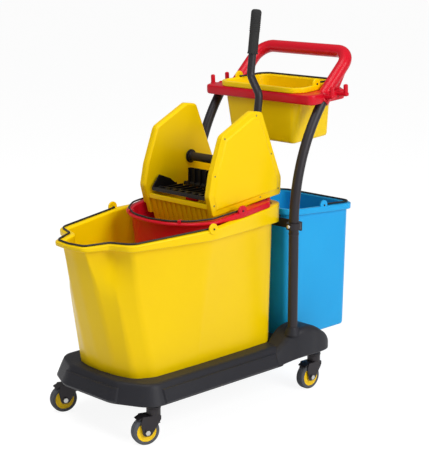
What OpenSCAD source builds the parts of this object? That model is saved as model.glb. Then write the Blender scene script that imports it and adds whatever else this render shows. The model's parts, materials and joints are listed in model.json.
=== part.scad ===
// Mop bucket trolley. A moulded deck on four swivel casters carries a main bucket with a spout, an inner
// bucket with a down-press wringer, a rear bucket hung behind two posts, and a top bin under a push handle.
// X points forwards, Y to the trolley's left, Z up. The origin is on the floor at the middle of the trolley.

/* [Casters] */
// Diameter of a wheel over its tyre
wheel_d = 75; // [65:1:90]
// Width of a tyre
tyre_w = 26; // [20:1:32]
// Diameter of a hub, which fills the bore of its tyre
hub_d = 54; // [44:1:60]
// Diameter of an axle bolt
axle_d = 8; // [6:0.5:10]
// Distance of the front swivel stems ahead of the middle
front_stem = 292; // [286:1:300]
// Distance of the rear swivel stems behind the middle
rear_stem = 341; // [336:1:343]
// Distance between the left and right swivel stems
track = 344; // [336:1:350]
// Distance of an axle ahead of its swivel stem
trail = 24; // [20:1:28]
// Angle that the front casters are turned by, in degrees
front_yaw = 20; // [0:1:45]
// Angle that the rear casters are turned by, in degrees
rear_yaw = 3; // [0:1:45]
// Diameter of a swivel stem
stem_d = 12; // [9:0.5:14]
// Length of a swivel stem above its fork
stem_len = 26; // [20:1:28]
// Thickness of a fork's walls
fork_t = 3; // [2:0.5:4]
// Height of the swivel head on top of a fork
crown_h = 17; // [12:1:24]

/* [Deck] */
// Height of the deck from its skirt to its rim
deck_h = 55; // [48:1:66]
// Half width of the skirt's upper edge
deck_half_w = 189; // [185:1:196]
// Distance of the skirt's upper front edge ahead of the wheel centre
deck_front = 358; // [350:1:380]
// Distance of the middle rear edge behind the wheel centre
deck_rear = 255; // [248:1:262]
// Thickness of the moulding
deck_wall = 4; // [3:0.5:6]
// Depth of the well that the main bucket stands in
well_depth = 15; // [8:1:22]
// How far the skirt's foot stands out beyond its upper edge
deck_flare = 19; // [12:1:22]
// How far the side and front panels stand proud of the skirt
panel_proud = 4.5; // [2:0.5:6]
// Rise of the rear lobes above the rim
lobe_rise = 48; // [40:1:56]
// Height of the lobes' underside above the skirt's foot
lobe_foot = 16; // [10:1:22]
// Distance of the lobes' rear ends behind the wheel centre
lobe_rear = 364; // [362:1:372]
// Half width over the lobes
lobe_half_w = 228; // [224:1:236]
// Distance of the lobes' inner faces from the middle
lobe_inner = 141; // [139:0.5:144]

/* [Posts] */
// Diameter of a post
post_d = 28; // [22:1:32]
// Wall of a post's tube
post_wall = 2; // [1.5:0.25:4]
// Distance of the posts behind the wheel centre
post_back = 215; // [211:1:222]
// Distance of the posts from the middle
post_side = 200; // [196:1:206]
// Height of the straight stretch above the deck's rim
post_straight = 354; // [346:1:366]
// Radius of the rearward bend
post_bend_r = 537; // [520:1:560]
// Angle of the rearward bend, in degrees
post_bend = 38.9; // [37.5:0.1:40]
// Height of a clamp collar
clamp_h = 18; // [14:1:24]
// Thickness of a clamp collar
clamp_t = 6; // [4:0.5:8]

/* [Main bucket] */
// Height from the underside to the rim, at the ears
main_h = 397; // [385:1:410]
// Distance of the spout's tip ahead of the wheel centre
main_front = 433; // [424:1:446]
// Distance of the rear lip behind the wheel centre
main_rear = 230; // [226:1:233]
// Half width over the lip, at the ears
main_half_w = 208; // [204:1:214]
// Distance of the ears ahead of the wheel centre
main_ear = 104; // [96:1:112]
// Thickness of the wall
main_wall = 4; // [3:0.5:5]
// How far the lip stands out from the wall
main_lip = 21; // [18:0.5:22]
// Height of the lip's band at the ears
main_band = 28; // [22:1:34]
// Height of the lip's band at the spout
main_band_front = 12; // [8:1:18]
// Height of the lip's band at the rear
main_band_rear = 55; // [46:1:60]
// Slope of the rim, higher at the rear, in degrees
main_tilt = 3.5; // [3:0.1:3.9]
// Distance of the bottom's front edge ahead of the wheel centre
main_base_front = 325; // [305:1:335]
// Distance of the bottom's rear edge behind the wheel centre
main_base_rear = 200; // [190:1:203]
// Half width of the bottom
main_base_half_w = 143; // [136:1:150]

/* [Inner bucket] */
// Depth below the main rim, at the ears
inner_h = 225; // [205:1:260]
// Thickness of the wall
inner_wall = 3.5; // [2.5:0.5:4]
// Thickness of the rim flange at the front
inner_rim_t = 8; // [6:0.5:10]
// Thickness of the rim flange at the sides and the rear
inner_lug_t = 16; // [14:0.5:20]
// Distance of the rim's front edge ahead of the wheel centre
inner_front = 158; // [152:1:164]
// Distance of the ears behind the wheel centre
inner_ear = 32; // [20:1:45]

/* [Rear bucket] */
// Height of the bucket, at the ears
rear_h = 385; // [360:1:390]
// Half width over the lip
rear_half_w = 152; // [146:1:158]
// Length over the lip
rear_len = 293; // [275:1:305]
// Gap between the posts' bracket and the lip's front edge
rear_gap = 17; // [14:1:20]
// How far the lip stands out from the wall
rear_lip = 12; // [10:0.5:14]
// Height of the lip's band
rear_band = 18; // [14:1:24]
// Thickness of the wall
rear_wall = 3.5; // [2.5:0.5:5]
// How much each side leans in from rim to bottom
rear_taper = 6; // [4:0.5:12]
// Slope of the rim, lower at the rear, in degrees
rear_tilt = 3.4; // [2.4:0.1:4.2]

/* [Top bin] */
// Height of the bin
bin_h = 163; // [140:1:172]
// Half width over the front of the lip
bin_half_w = 166; // [160:1:168]
// Length over the lip
bin_len = 190; // [176:1:193]
// How far the lip stands out from the wall
bin_lip = 11; // [8:0.5:13]
// Height of the lip's band
bin_band = 15; // [11:0.5:18]
// How much narrower the rear of the lip is, on each side
bin_narrow = 18; // [16:1:24]
// Thickness of the wall
bin_wall = 3; // [2:0.5:4]
// How much each side wall leans in from rim to bottom
bin_taper = 28; // [14:1:34]

/* [Tray and handle] */
// Height of the tray's ring
tray_h = 28; // [22:1:34]
// Half width of the tray
tray_half_w = 214; // [210:1:220]
// Distance of the tray's front edge ahead of the post tops
tray_front = 68; // [64:1:74]
// Diameter of the push handle
handle_d = 37; // [30:1:40]
// Distance of the handle's arms from the middle
handle_side = 176; // [174:0.5:180]
// Height of the bar above the tray
handle_rise = 106; // [90:1:130]
// Distance of the bar behind the post tops
handle_back = 143; // [140:1:160]
// Radius of the handle's corners
handle_bend_r = 50; // [40:1:60]
// Slope of the tray and the bin, higher at the rear, in degrees
tray_tilt = 3; // [1:0.5:4]
// Diameter of a hook peg
peg_d = 13; // [9:0.5:14]
// Height of a hook peg
peg_h = 20; // [15:1:30]

/* [Wringer] */
// Distance of the cheeks' inner faces inside the main bucket's half width
cheek_in = 90; // [89.5:0.5:92]
// Depth of a cheek housing
cheek_w = 15.5; // [15:0.25:16]
// Thickness of an outer cover
cover_t = 10; // [7:0.5:12]
// Wall of the cheek housings and the basket
wringer_wall = 3; // [2.5:0.25:3.25]
// Gear module
gear_m = 4; // [3.9:0.02:4.04]
// Teeth of the full circle of the drive sector on the shaft
drive_teeth = 48; // [48:1:48]
// Teeth of the full circle of the front plate's sector
front_teeth = 28; // [28:1:28]
// Teeth of the full circle of the rear plate's sector
rear_teeth = 27; // [27:1:27]
// Distance of the front plate's hinge ahead of the wheel centre
front_hinge = 12; // [9:0.5:14]
// Height of both hinges above the main rim
hinge_rise = 57; // [55:0.5:60]
// Distance of the shaft behind the wheel centre
shaft_back = 119.5; // [116:0.5:122]
// Diameter of the cross shaft
shaft_d = 25; // [20:1:28]
// Reach of the front press plate behind its hinge
front_plate_len = 65; // [58:1:72]
// Reach of the front press plate ahead of its hinge
front_plate_nose = 27; // [20:1:28]
// Length of the rear press plate
rear_plate_len = 48; // [40:1:52]
// Thickness of the press plates
plate_t = 5; // [3.5:0.5:6]
// Number of ribs on the basket's front wall
slats = 11; // [5:1:15]

/* [Lever] */
// Diameter of the lever's tube
lever_d = 22; // [18:1:23]
// Distance of the lever's lower stretch inside the cheeks' inner faces
lever_in = 25; // [24.5:0.5:28]
// Distance of the lever's upper stretch from the middle
lever_top_y = 53; // [40:1:75]
// Height of the lever's top above the shaft
lever_h = 421; // [380:1:460]
// Length of the grip
grip_len = 124; // [100:1:140]
// Diameter of the grip
grip_d = 30; // [26:1:34]

/* [Wire bails] */
// Diameter of the wire
wire_d = 5; // [4:0.25:6]
// Radius of an ear
ear_r = 15; // [12:0.5:17]
// Thickness of an ear
ear_t = 6; // [4:0.5:7]

/* [Clearances] */
// Radial running clearance of a shaft, stem or pin in its bore
run = 0.06; // [0.02:0.01:0.1]
// Radial clearance of pieces that are fixed in each other
fit = 0.05; // [0.02:0.01:0.1]
// Gap under a piece that is set down on another
seat = 0.4; // [0.3:0.05:0.8]
// Gap between a bucket and what it stands in
well_gap = 2; // [1:0.25:3]

/* [Hidden] */
$fn = 48;
arc_n = 6;
yellow = "#f5cf05";
red = "#c31c23";
blue = "#44b4ea";
dark = "#3c3c42";
black = "#262426";
grey = "#55575c";
steel = "#b9bdc2";

// Levels from the floor up
wheel_r = wheel_d / 2;
fork_gap = 3;
fork_top = wheel_d + fork_gap + fork_t + crown_h;
swivel_gap = 0.5;
flange_t = 4.5;
boss_z = fork_top + swivel_gap + flange_t;
deck_z = boss_z + 7;
rim_z = deck_z + deck_h;
well_z = rim_z - well_depth;
main_z = well_z + seat;
main_rim = main_z + main_h;
tilt = tan(main_tilt);

// Casters: [name, x of the stem, y of the stem, angle]
casters = [["front_left", front_stem, track / 2, front_yaw],
    ["front_right", front_stem, -track / 2, front_yaw],
    ["rear_left", -rear_stem, track / 2, rear_yaw],
    ["rear_right", -rear_stem, -track / 2, rear_yaw]];
sleeve_r = stem_d / 2 + 4;
boss_r = sleeve_r + 10;
fork_in = tyre_w / 2 + 2;
fork_out = fork_in + fork_t;

// Posts
post_r = post_d / 2;
post_foot_z = deck_z + 25;
post_knee_z = rim_z + post_straight;
post_top = [-post_back - post_bend_r * (1 - cos(post_bend)), post_knee_z + post_bend_r * sin(post_bend)];
clamp_z = post_knee_z - clamp_h - 1;
clamp_r = post_r + clamp_t;
bracket_x = -post_back - clamp_r - 2;
bracket_t = 6;
bracket_z = clamp_z - 8;
ledge_t = 6;
ledge_top = clamp_z + clamp_h + 2.5;

// Rear bucket, whose lip rests on the bracket's ledge
rear_x1 = bracket_x - rear_gap;
rear_x0 = rear_x1 - rear_len;
rear_ear_x = (rear_x0 + rear_x1) / 2;
rear_slope = tan(rear_tilt);
rear_rim = ledge_top + seat + rear_band - rear_slope * (rear_x1 - rear_lip - rear_ear_x);
rear_z = rear_rim - rear_h;

// Tray and handle
tray_x1 = post_top[0] + tray_front;
tray_z1 = post_top[1] + 12;
tray_z0 = tray_z1 - tray_h;
bin_x1 = tray_x1 - 2;
bin_x0 = bin_x1 - bin_len;
bin_rim = tray_z1 + seat + bin_band;
bin_z = bin_rim - bin_h;
bar_x = post_top[0] - handle_back;
bar_z = tray_z1 + handle_rise;
handle_r = handle_d / 2;
arm_x = post_top[0] - 20;
arm_z = tray_z1 - tray_h / 2;

// Wringer: the two gear pairs set where the hinges and the shaft are
drive_r = gear_m * drive_teeth / 2;
front_r = gear_m * front_teeth / 2;
rear_r = gear_m * rear_teeth / 2;
hinge_z = main_rim + hinge_rise;
rear_hinge = front_hinge - front_r - rear_r;
shaft_x = -shaft_back;
shaft_z = hinge_z + sqrt(pow(drive_r + front_r, 2) - pow(front_hinge - shaft_x, 2));
cheek_inner = main_half_w - cheek_in;
cover_y = cheek_inner + cheek_w;
plate_half = cheek_inner - 10;
pin_r = 6;
layer_t = 4.5;
layer_in = cheek_inner + wringer_wall + 1;
layer_out = layer_in + layer_t + 1;
bush_r = shaft_d / 2 + 3;
lever_back = 22.9;
lever_lean = 7.2;
lever_low_y = cheek_inner - lever_in;
lever_crank = 54;
lever_knee = 135;

wire_r = wire_d / 2;
hole_r = wire_r + run;
wire_past = 0.5;
wire_turn = 7;

// Outlines and lofts

function unit(v) = v / norm(v);
function mix(a, b, f) = a + (b - a) * f;
function cross2(a, b) = a[0] * b[1] - a[1] * b[0];
function xy(c) = [c[0], c[1]];

// A closed outline from corners [x, y, radius], each rounded by an arc of n steps
function rounded(c, n = arc_n) = [
    for (i = [0:len(c) - 1])
        let (p = xy(c[i]), u = unit(xy(c[(i + len(c) - 1) % len(c)]) - p),
            v = unit(xy(c[(i + 1) % len(c)]) - p))
        let (half = acos(u * v) / 2, sweep = 180 - 2 * half, m = p + unit(u + v) * c[i][2] / sin(half))
        let (w0 = p + u * c[i][2] / tan(half) - m, w1 = p + v * c[i][2] / tan(half) - m)
        for (k = [0:n]) m + (w0 * sin(sweep * (1 - k / n)) + w1 * sin(sweep * k / n)) / sin(sweep)];

// The same corners, moved inwards by d; the outline runs anticlockwise
function inset(c, d) = [
    for (i = [0:len(c) - 1])
        let (p = xy(c[i]), u = unit(p - xy(c[(i + len(c) - 1) % len(c)])),
            v = unit(xy(c[(i + 1) % len(c)]) - p))
        let (n1 = [-u[1], u[0]], bis = unit(n1 + [-v[1], v[0]]), q = p + bis * d / (bis * n1))
        [q[0], q[1], max(c[i][2] - d * sign(cross2(u, v)), 2)]];

// Steps for each edge of an outline, and an outline with its edges so divided
function edge_steps(c) = [for (i = [0:len(c) - 1])
    max(1, round(norm(xy(c[(i + 1) % len(c)]) - xy(c[i])) / 55))];
function spread(points, steps, n = arc_n) = [
    for (i = [0:len(points) - 1])
        let (q = points[(i + 1) % len(points)], k = i % (n + 1) == n ? steps[floor(i / (n + 1))] : 1)
        for (j = [0:k - 1]) mix(points[i], q, j / k)];

// Rings between two rings, along straight lines
function rings_between(a, b, count) = [for (k = [1:count])
    [for (i = [0:len(a) - 1]) mix(a[i], b[i], k / (count + 1))]];

// A half outline on the +Y side, from front to rear, with its mirror image
function both(h) = concat(h, [for (i = [len(h) - 1:-1:0]) if (h[i][1] > 0) [h[i][0], -h[i][1], h[i][2]]]);

function level(points, z) = [for (p = points) [p[0], p[1], z]];

// A closed skin through rings of equal length, with a flat cap on the first and the last
module loft(rings) {
    n = len(rings[0]);
    m = len(rings);
    sides = [for (k = [0:m - 2]) for (i = [0:n - 1])
        let (a = k * n + i, b = k * n + (i + 1) % n)
        each rings[k + 1][i][2] >= rings[k][i][2] ? [[a, a + n, b + n], [a, b + n, b]] : [[a, a + n, b],
            [b, a + n, b + n]]];
    polyhedron(points = [for (r = rings) each r],
               faces = concat([[for (i = [0:n - 1]) i]], sides,
                   [[for (i = [n - 1:-1:0]) (m - 1) * n + i]]));
}

// A round bar along points that lie in one plane, whose normal is up; its ends may be slimmer
module bar_along(path, r, up, n = 8, end_share = 1) {
    last = len(path) - 1;
    loft([for (i = [0:last])
        let (t = unit(path[min(i + 1, last)] - path[max(i - 1, 0)]), s = cross(unit(up), t))
        let (ring_r = i == 0 || i == last ? end_share * r : r)
        [for (k = [0:n - 1]) path[i] + ring_r * (cos(360 * k / n) * s + sin(360 * k / n) * unit(up))]]);
}

// An open path from corners [x, y, radius]: its ends stay sharp, its corners are arcs
function bent(c, n = arc_n) = concat([xy(c[0])], [
    for (i = [1:len(c) - 2])
        let (p = xy(c[i]), u = unit(xy(c[i - 1]) - p), v = unit(xy(c[i + 1]) - p), half = acos(u * v) / 2)
        let (sweep = 180 - 2 * half, m = p + unit(u + v) * c[i][2] / sin(half))
        let (w0 = p + u * c[i][2] / tan(half) - m, w1 = p + v * c[i][2] / tan(half) - m)
        for (k = [0:n]) m + (w0 * sin(sweep * (1 - k / n)) + w1 * sin(sweep * k / n)) / sin(sweep)],
    [xy(c[len(c) - 1])]);

module place() { translate([-mid_x, 0, 0]) children(); }
module sided(side) { if (side > 0) children(); else mirror([0, 1, 0]) children(); }
// A cylinder along Y from y0 to y1 at a point of the X-Z plane
module y_rod(p, r, y0, y1) { translate([p[0], y1, p[1]]) rotate([90, 0, 0]) cylinder(r = r, h = y1 - y0); }
// A shape of the X-Z plane, from y0 to y1
module y_slab(y0, y1) { translate([0, y1, 0]) rotate([90, 0, 0]) linear_extrude(y1 - y0) children(); }

// Casters, each drawn with its stem over the origin

module at_caster(c) { place() translate([c[1], c[2], 0]) rotate([0, 0, -c[3]]) children(); }

module caster_socket() {
    color(steel) difference() {
        union() {
            translate([0, 0, fork_top + swivel_gap]) cylinder(r = boss_r, h = flange_t);
            translate([0, 0, boss_z]) cylinder(r = sleeve_r, h = stem_len);
        }
        translate([0, 0, fork_top]) cylinder(r = stem_d / 2 + run, h = stem_len + flange_t + 5);
    }
}

module fork_side() {
    polygon([[trail - 11, wheel_r], [trail + 11, wheel_r], [trail + 26, wheel_d * 0.8],
             [trail + 12, wheel_d + fork_gap + fork_t], [-18, wheel_d + fork_gap + fork_t],
             [-18, wheel_d * 0.78]]);
    translate([trail, wheel_r]) circle(r = 11);
}

module caster_fork() {
    fender_r = wheel_r + fork_gap;
    color(black) difference() {
        union() {
            for (s = [-1, 1]) y_slab(min(s * fork_in, s * fork_out), max(s * fork_in, s * fork_out))
                fork_side();
            intersection() {
                difference() {
                    y_rod([trail, wheel_r], fender_r + fork_t, -fork_in, fork_in);
                    y_rod([trail, wheel_r], fender_r, -fork_out, fork_out);
                }
                translate([-18, -fork_out, wheel_r + 20]) cube([trail + 42, 2 * fork_out, wheel_d]);
            }
            translate([0, 0, wheel_d + fork_gap]) cylinder(r = boss_r - 1, h = fork_t + crown_h);
            translate([0, 0, fork_top - 1]) cylinder(r = stem_d / 2, h = stem_len + 1);
        }
        y_rod([trail, wheel_r], axle_d / 2 + fit, -fork_out - 1, fork_out + 1);
    }
}

module caster_axle() {
    color(steel) translate([trail, 0, wheel_r]) rotate([90, 0, 0]) {
        cylinder(r = axle_d / 2, h = 2 * fork_out + 2, center = true);
        for (s = [-1, 1]) translate([0, 0, s * (fork_out + 2.5)])
            cylinder(r = axle_d * 0.9, h = 5, center = true, $fn = 6);
    }
}

module caster_hub() {
    color(yellow) translate([trail, 0, wheel_r]) rotate([90, 0, 0]) difference() {
        union() {
            cylinder(r = hub_d / 2 - fit, h = tyre_w - 2, center = true);
            cylinder(r = axle_d / 2 + 6, h = tyre_w + 2, center = true);
        }
        for (s = [-1, 1]) translate([0, 0, s * (tyre_w / 2 - 2)]) difference() {
            cylinder(r = hub_d / 2 - 5, h = 6, center = true);
            cylinder(r = axle_d / 2 + 6, h = 7, center = true);
        }
        cylinder(r = axle_d / 2 + run, h = tyre_w + 4, center = true);
    }
}

module caster_tyre() {
    bevel = 4;
    color(grey) translate([trail, 0, wheel_r]) rotate([90, 0, 0]) rotate_extrude()
        polygon([[hub_d / 2, -tyre_w / 2], [wheel_r - bevel, -tyre_w / 2], [wheel_r, bevel - tyre_w / 2],
                 [wheel_r, tyre_w / 2 - bevel], [wheel_r - bevel, tyre_w / 2], [hub_d / 2, tyre_w / 2]]);
}

// Main bucket: corners of the lip and of the bottom, half outlines from the spout round to the rear

main_lip_half = [[main_front, 0, 120], [main_front - 8, 60, 26], [main_front - 71, 88, 14],
                 [main_front - 93, main_half_w - 56, 42], [main_ear, main_half_w, 150],
                 [-main_rear, main_half_w - 60, 45]];
main_base_half = [[main_base_front, 0, 150], [main_base_front - 4, 58, 120],
    [main_base_front - 19, 114, 45],
    [main_base_front - 66, main_base_half_w - 3, 60], [main_ear, main_base_half_w, 150],
    [-main_base_rear, main_base_half_w - 4, 36]];
main_lip_c = both(main_lip_half);
main_base_c = both(main_base_half);
main_wall_c = inset(main_lip_c, main_lip);
main_steps = edge_steps(main_lip_c);

// The whole trolley runs from the rear bucket's lip to the main bucket's spout
mid_x = (max([for (p = rounded(main_lip_c)) p[0]]) + rear_x0) / 2;

function main_top(x) = main_rim - tilt * (x - main_ear);
function main_band_at(x) = x < main_ear
    ? mix(main_band, main_band_rear, min(1, (main_ear - x) / (main_ear + main_rear)))
    : mix(main_band, main_band_front, min(1, (x - main_ear) / (main_front - main_ear)));
function on_rim(points, drop) = [for (p = points) [p[0], p[1], main_top(p[0]) - drop]];
function under_band(points) = [for (p = points) [p[0], p[1], main_top(p[0]) - main_band_at(p[0])]];
function main_ring(c) = spread(rounded(c), main_steps);

// A round ear for a wire, flush with y on its outer side
module ear(x, y, z) { y_rod([x, z], ear_r, y - ear_t, y); }
module ear_hole(x, y, z) { y_rod([x, z], hole_r, y - ear_t - 1, y + 1); }

module main_bucket() {
    ear_z = main_rim + wire_r + seat;
    edge = 10;
    foot = level(main_ring(main_base_c), main_z + edge);
    neck = under_band(main_ring(main_wall_c));
    mouth = on_rim(main_ring(inset(main_lip_c, main_lip + main_wall)), 4);
    sole = level(main_ring(inset(main_base_c, main_wall)), main_z + edge + main_wall);
    color(yellow) place() difference() {
        union() {
            loft([level(main_ring(inset(main_base_c, edge)), main_z),
                  level(main_ring(inset(main_base_c, 0.3 * edge)), main_z + 0.3 * edge),
                  foot, each rings_between(foot, neck, 4), neck,
                  under_band(main_ring(inset(main_lip_c, 2))),
                  on_rim(main_ring(main_lip_c), 4),
                  on_rim(main_ring(inset(main_lip_c, 2)), 0),
                  on_rim(main_ring(inset(main_lip_c, main_lip)), 0),
                  mouth, each rings_between(mouth, sole, 4), sole,
                  level(main_ring(inset(main_base_c, edge + main_wall)), main_z + main_wall)]);
            for (s = [-1, 1]) sided(s) ear(main_ear, main_half_w - 1, ear_z);
        }
        for (s = [-1, 1]) sided(s) ear_hole(main_ear, main_half_w - 1, ear_z);
    }
}

// A wire from ear to ear in the plane of a rim: the half route starts inside the ear, at its pin
module bail(route, ear_x, ear_y, z, slope) {
    half = bent(route);
    path = concat(half, [for (i = [len(half) - 1:-1:0]) if (half[i][1] > 0.01) [half[i][0], -half[i][1]]]);
    color(black) {
        bar_along([for (p = path) [p[0], p[1], z - slope * (p[0] - ear_x)]], wire_r, [slope, 0, 1],
            end_share = 0.8);
        for (s = [-1, 1]) sided(s) y_rod([ear_x, z], wire_r, ear_y - ear_t - wire_past, ear_y + 3);
    }
}

module main_bail() {
    y = main_half_w - 1;
    lie = inset(main_lip_c, 9);
    place() bail([[main_ear, y - ear_t + 1, 1], [main_ear, y - ear_t - wire_turn, 5],
        [lie[3][0], lie[3][1], 36], [lie[2][0], lie[2][1], 16],
        [lie[1][0], lie[1][1], 20], [lie[0][0], 0, 1]],
                 main_ear, y, main_rim + wire_r + seat, tilt);
}

// Inner bucket, which hangs by its flange on the main bucket's lip

inner_lip_c = both([[inner_front, 0, 200], [inner_front - 8, main_half_w / 2 - 34, 120],
    [inner_front - 42, main_half_w - 73, 90],
    [inner_front - 92, main_half_w - 38, 60], [-inner_ear, main_half_w - 27, 200],
    [-main_rear + 66, main_half_w - 48, 14],
    [-main_rear + 58, main_half_w - 76, 8], [-main_rear + 18, main_half_w - 84, 30]]);
inner_wall_c = both([[inner_front - 12, 0, 200], [inner_front - 20, main_half_w / 2 - 38, 115],
    [inner_front - 52, main_half_w - 82, 80],
    [inner_front - 98, main_half_w - 56, 50], [-inner_ear, main_half_w - 54, 200],
    [-main_rear + 60, main_half_w - 79, 20],
    [-main_rear + 38, main_half_w - 86, 12], [-main_rear + 30, main_half_w - 100, 12]]);
inner_base_c = both([[inner_front - 34, 0, 200], [inner_front - 41, main_half_w / 2 - 48, 105],
    [inner_front - 68, main_half_w - 102, 70],
    [inner_front - 108, main_half_w - 82, 40], [-inner_ear, main_half_w - 78, 200],
    [-main_rear + 70, main_half_w - 96, 20],
    [-main_rear + 54, main_half_w - 102, 12], [-main_rear + 47, main_half_w - 114, 12]]);
inner_steps = edge_steps(inner_lip_c);
inner_z = main_rim - inner_h;

// The rim flange is thin across the front and thick along the sides and the rear
function inner_top(x) = seat + mix(inner_rim_t, inner_lug_t, max(0, min(1, (60 - x) / (60 + inner_ear))));
function on_flange(points, drop) = [for (p = points) [p[0], p[1], main_top(p[0]) + inner_top(p[0]) - drop]];
function inner_ring(c) = spread(rounded(c), inner_steps);

module inner_bucket() {
    y = main_half_w - 28;
    x = -inner_ear;
    ear_z = main_top(x) + inner_top(x) + wire_r + seat;
    edge = 8;
    foot = level(inner_ring(inner_base_c), inner_z + edge);
    neck = on_rim(inner_ring(inner_wall_c), -seat);
    mouth = on_flange(inner_ring(inset(inner_wall_c, inner_wall)), 3);
    sole = level(inner_ring(inset(inner_base_c, inner_wall)), inner_z + edge);
    color(red) place() difference() {
        union() {
            loft([level(inner_ring(inset(inner_base_c, edge)), inner_z),
                  foot, each rings_between(foot, neck, 2), neck,
                  on_rim(inner_ring(inset(inner_lip_c, 1)), -seat),
                  on_rim(inner_ring(inner_lip_c), -seat - 2),
                  on_flange(inner_ring(inner_lip_c), 3),
                  on_flange(inner_ring(inset(inner_lip_c, 2)), 0),
                  on_flange(inner_ring(inset(inner_wall_c, inner_wall - 2)), 0),
                  mouth, each rings_between(mouth, sole, 2), sole,
                  level(inner_ring(inset(inner_base_c, edge)), inner_z + inner_wall)]);
            for (s = [-1, 1]) sided(s) ear(x, y, ear_z);
        }
        for (s = [-1, 1]) sided(s) ear_hole(x, y, ear_z);
    }
}

module inner_bail() {
    y = main_half_w - 28;
    lie = inset(inner_lip_c, 8);
    x = -inner_ear;
    place() bail([[x, y - ear_t + 1, 1], [x, y - ear_t - wire_turn, 5], [lie[3][0], lie[3][1], 52],
        [lie[2][0], lie[2][1], 82],
        [lie[1][0], lie[1][1], 112],
        [lie[0][0], 0, 1]],
                 x, y, main_top(x) + inner_top(x) + wire_r + seat,
                     tilt + (inner_top(x) - inner_top(lie[0][0])) / (lie[0][0] - x));
}

// Rear bucket and top bin: plain tubs with a lip, an ear on each side and a wire that lies to the rear

function tub_c(x0, x1, rear_half, half, r) = [[x1, -half, r], [x1, half, r], [x0, rear_half, r],
    [x0, -rear_half, r]];

module tub(lip_c, base_c, z, rim, slope, lip, band, wall, ear_x, ear_y, ear_z) {
    edge = 8;
    function at_rim(points, drop) = [for (p = points) [p[0], p[1], rim + slope * (p[0] - ear_x) - drop]];
    difference() {
        union() {
            loft([level(rounded(inset(base_c, edge)), z),
                  level(rounded(inset(base_c, 0.3 * edge)), z + 0.3 * edge),
                  level(rounded(base_c), z + edge),
                  at_rim(rounded(inset(lip_c, lip)), band),
                  at_rim(rounded(inset(lip_c, 1)), band),
                  at_rim(rounded(lip_c), 3),
                  at_rim(rounded(inset(lip_c, 2)), 0),
                  at_rim(rounded(inset(lip_c, lip)), 0),
                  at_rim(rounded(inset(lip_c, lip + wall)), 3),
                  level(rounded(inset(base_c, wall)), z + edge),
                  level(rounded(inset(base_c, edge)), z + wall)]);
            for (s = [-1, 1]) sided(s) ear(ear_x, ear_y, ear_z);
        }
        for (s = [-1, 1]) sided(s) ear_hole(ear_x, ear_y, ear_z);
    }
}

// A wire that lies on a tub's rim, from the ears round the rear
module tub_bail(ear_x, ear_y, z, slope, back_x, back_y, corner) {
    bail([[ear_x, ear_y - ear_t + 1, 1], [ear_x, ear_y - ear_t - wire_turn, 5], [back_x, back_y, corner],
        [back_x, 0, 1]], ear_x, ear_y, z, -slope);
}

rear_lip_c = tub_c(rear_x0, rear_x1, rear_half_w, rear_half_w, 42);
rear_base_c = inset(tub_c(rear_x0, rear_x1, rear_half_w, rear_half_w, 42), rear_lip + rear_taper);

module rear_bucket() {
    color(blue) place() tub(rear_lip_c, rear_base_c, rear_z, rear_rim, rear_slope, rear_lip, rear_band,
        rear_wall,
                            rear_ear_x, rear_half_w - 1, rear_rim + wire_r + seat);
}

module rear_bail() {
    place() tub_bail(rear_ear_x, rear_half_w - 1, rear_rim + wire_r + seat, rear_slope, rear_x0 + 7,
        rear_half_w - 14, 32);
}

bin_ear_x = (bin_x0 + bin_x1) / 2 + 8;
bin_ear_y = bin_half_w - bin_narrow * (bin_x1 - bin_ear_x) / bin_len - 2;
bin_lip_c = tub_c(bin_x0, bin_x1, bin_half_w - bin_narrow, bin_half_w, 40);
bin_base_c = tub_c(bin_x0 + bin_lip, bin_x1 - bin_lip - 4,
    bin_half_w - bin_narrow - bin_lip - bin_taper + 8,
                   bin_half_w - bin_lip - bin_taper, 16);

// The tray and the bin lean back about the tray's upper front edge
module tilted() { translate([tray_x1, 0, tray_z1]) rotate([0, tray_tilt, 0])
    translate([-tray_x1, 0, -tray_z1]) children(); }

module top_bin() {
    color(yellow) place() tilted()
        tub(bin_lip_c, bin_base_c, bin_z, bin_rim, 0, bin_lip, bin_band, bin_wall,
                                       bin_ear_x, bin_ear_y, bin_rim + wire_r + seat);
}

module bin_bail() {
    place() tilted() tub_bail(bin_ear_x, bin_ear_y, bin_rim + wire_r + seat, 0, bin_x0 + 6,
        bin_half_w - bin_narrow - 8, 34);
}

// Deck

deck_c = both([[deck_front, 93, 64], [deck_front - 46, deck_half_w, 50], [-post_back + 45, deck_half_w, 10],
               [-post_back + 32, lobe_inner + 8, 10], [-deck_rear, lobe_inner + 4, 12]]);
foot_c = inset(deck_c, -deck_flare);
panel_top = rim_z - 8;
lobe_top = rim_z + lobe_rise;
lobe_z = deck_z + lobe_foot;

// Sections of a rear lobe from its rear end forwards: [x, inner y, outer y, underside, top, flare of the foot]
lobe_sections = [[-lobe_rear, lobe_inner + 22, lobe_half_w - 32, lobe_z + 2, lobe_z + 14, 0],
                 [-lobe_rear + 7, lobe_inner + 9, lobe_half_w - 16, lobe_z, lobe_z + 27, 0],
                 [-lobe_rear + 22, lobe_inner + 2, lobe_half_w - 5, lobe_z, lobe_z + 47, 0],
                 [-lobe_rear + 44, lobe_inner, lobe_half_w, lobe_z, lobe_top - 25, 0],
                 [-lobe_rear + 74, lobe_inner, lobe_half_w, lobe_z, lobe_top - 7, 0],
                 [-lobe_rear + 104, lobe_inner, lobe_half_w, lobe_z, lobe_top, 0],
                 [-post_back - 10, lobe_inner, lobe_half_w - 5, lobe_z - 2, lobe_top - 4, 0],
                 [-post_back + 14, lobe_inner, lobe_half_w - 16, lobe_z - 7, lobe_top - 16, 3],
                 [-post_back + 36, lobe_inner, deck_half_w + 14, deck_z + 5, rim_z + 10, 8],
                 [-post_back + 62, lobe_inner, deck_half_w + 4, deck_z + 0.5, rim_z - 12, 15]];

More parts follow.
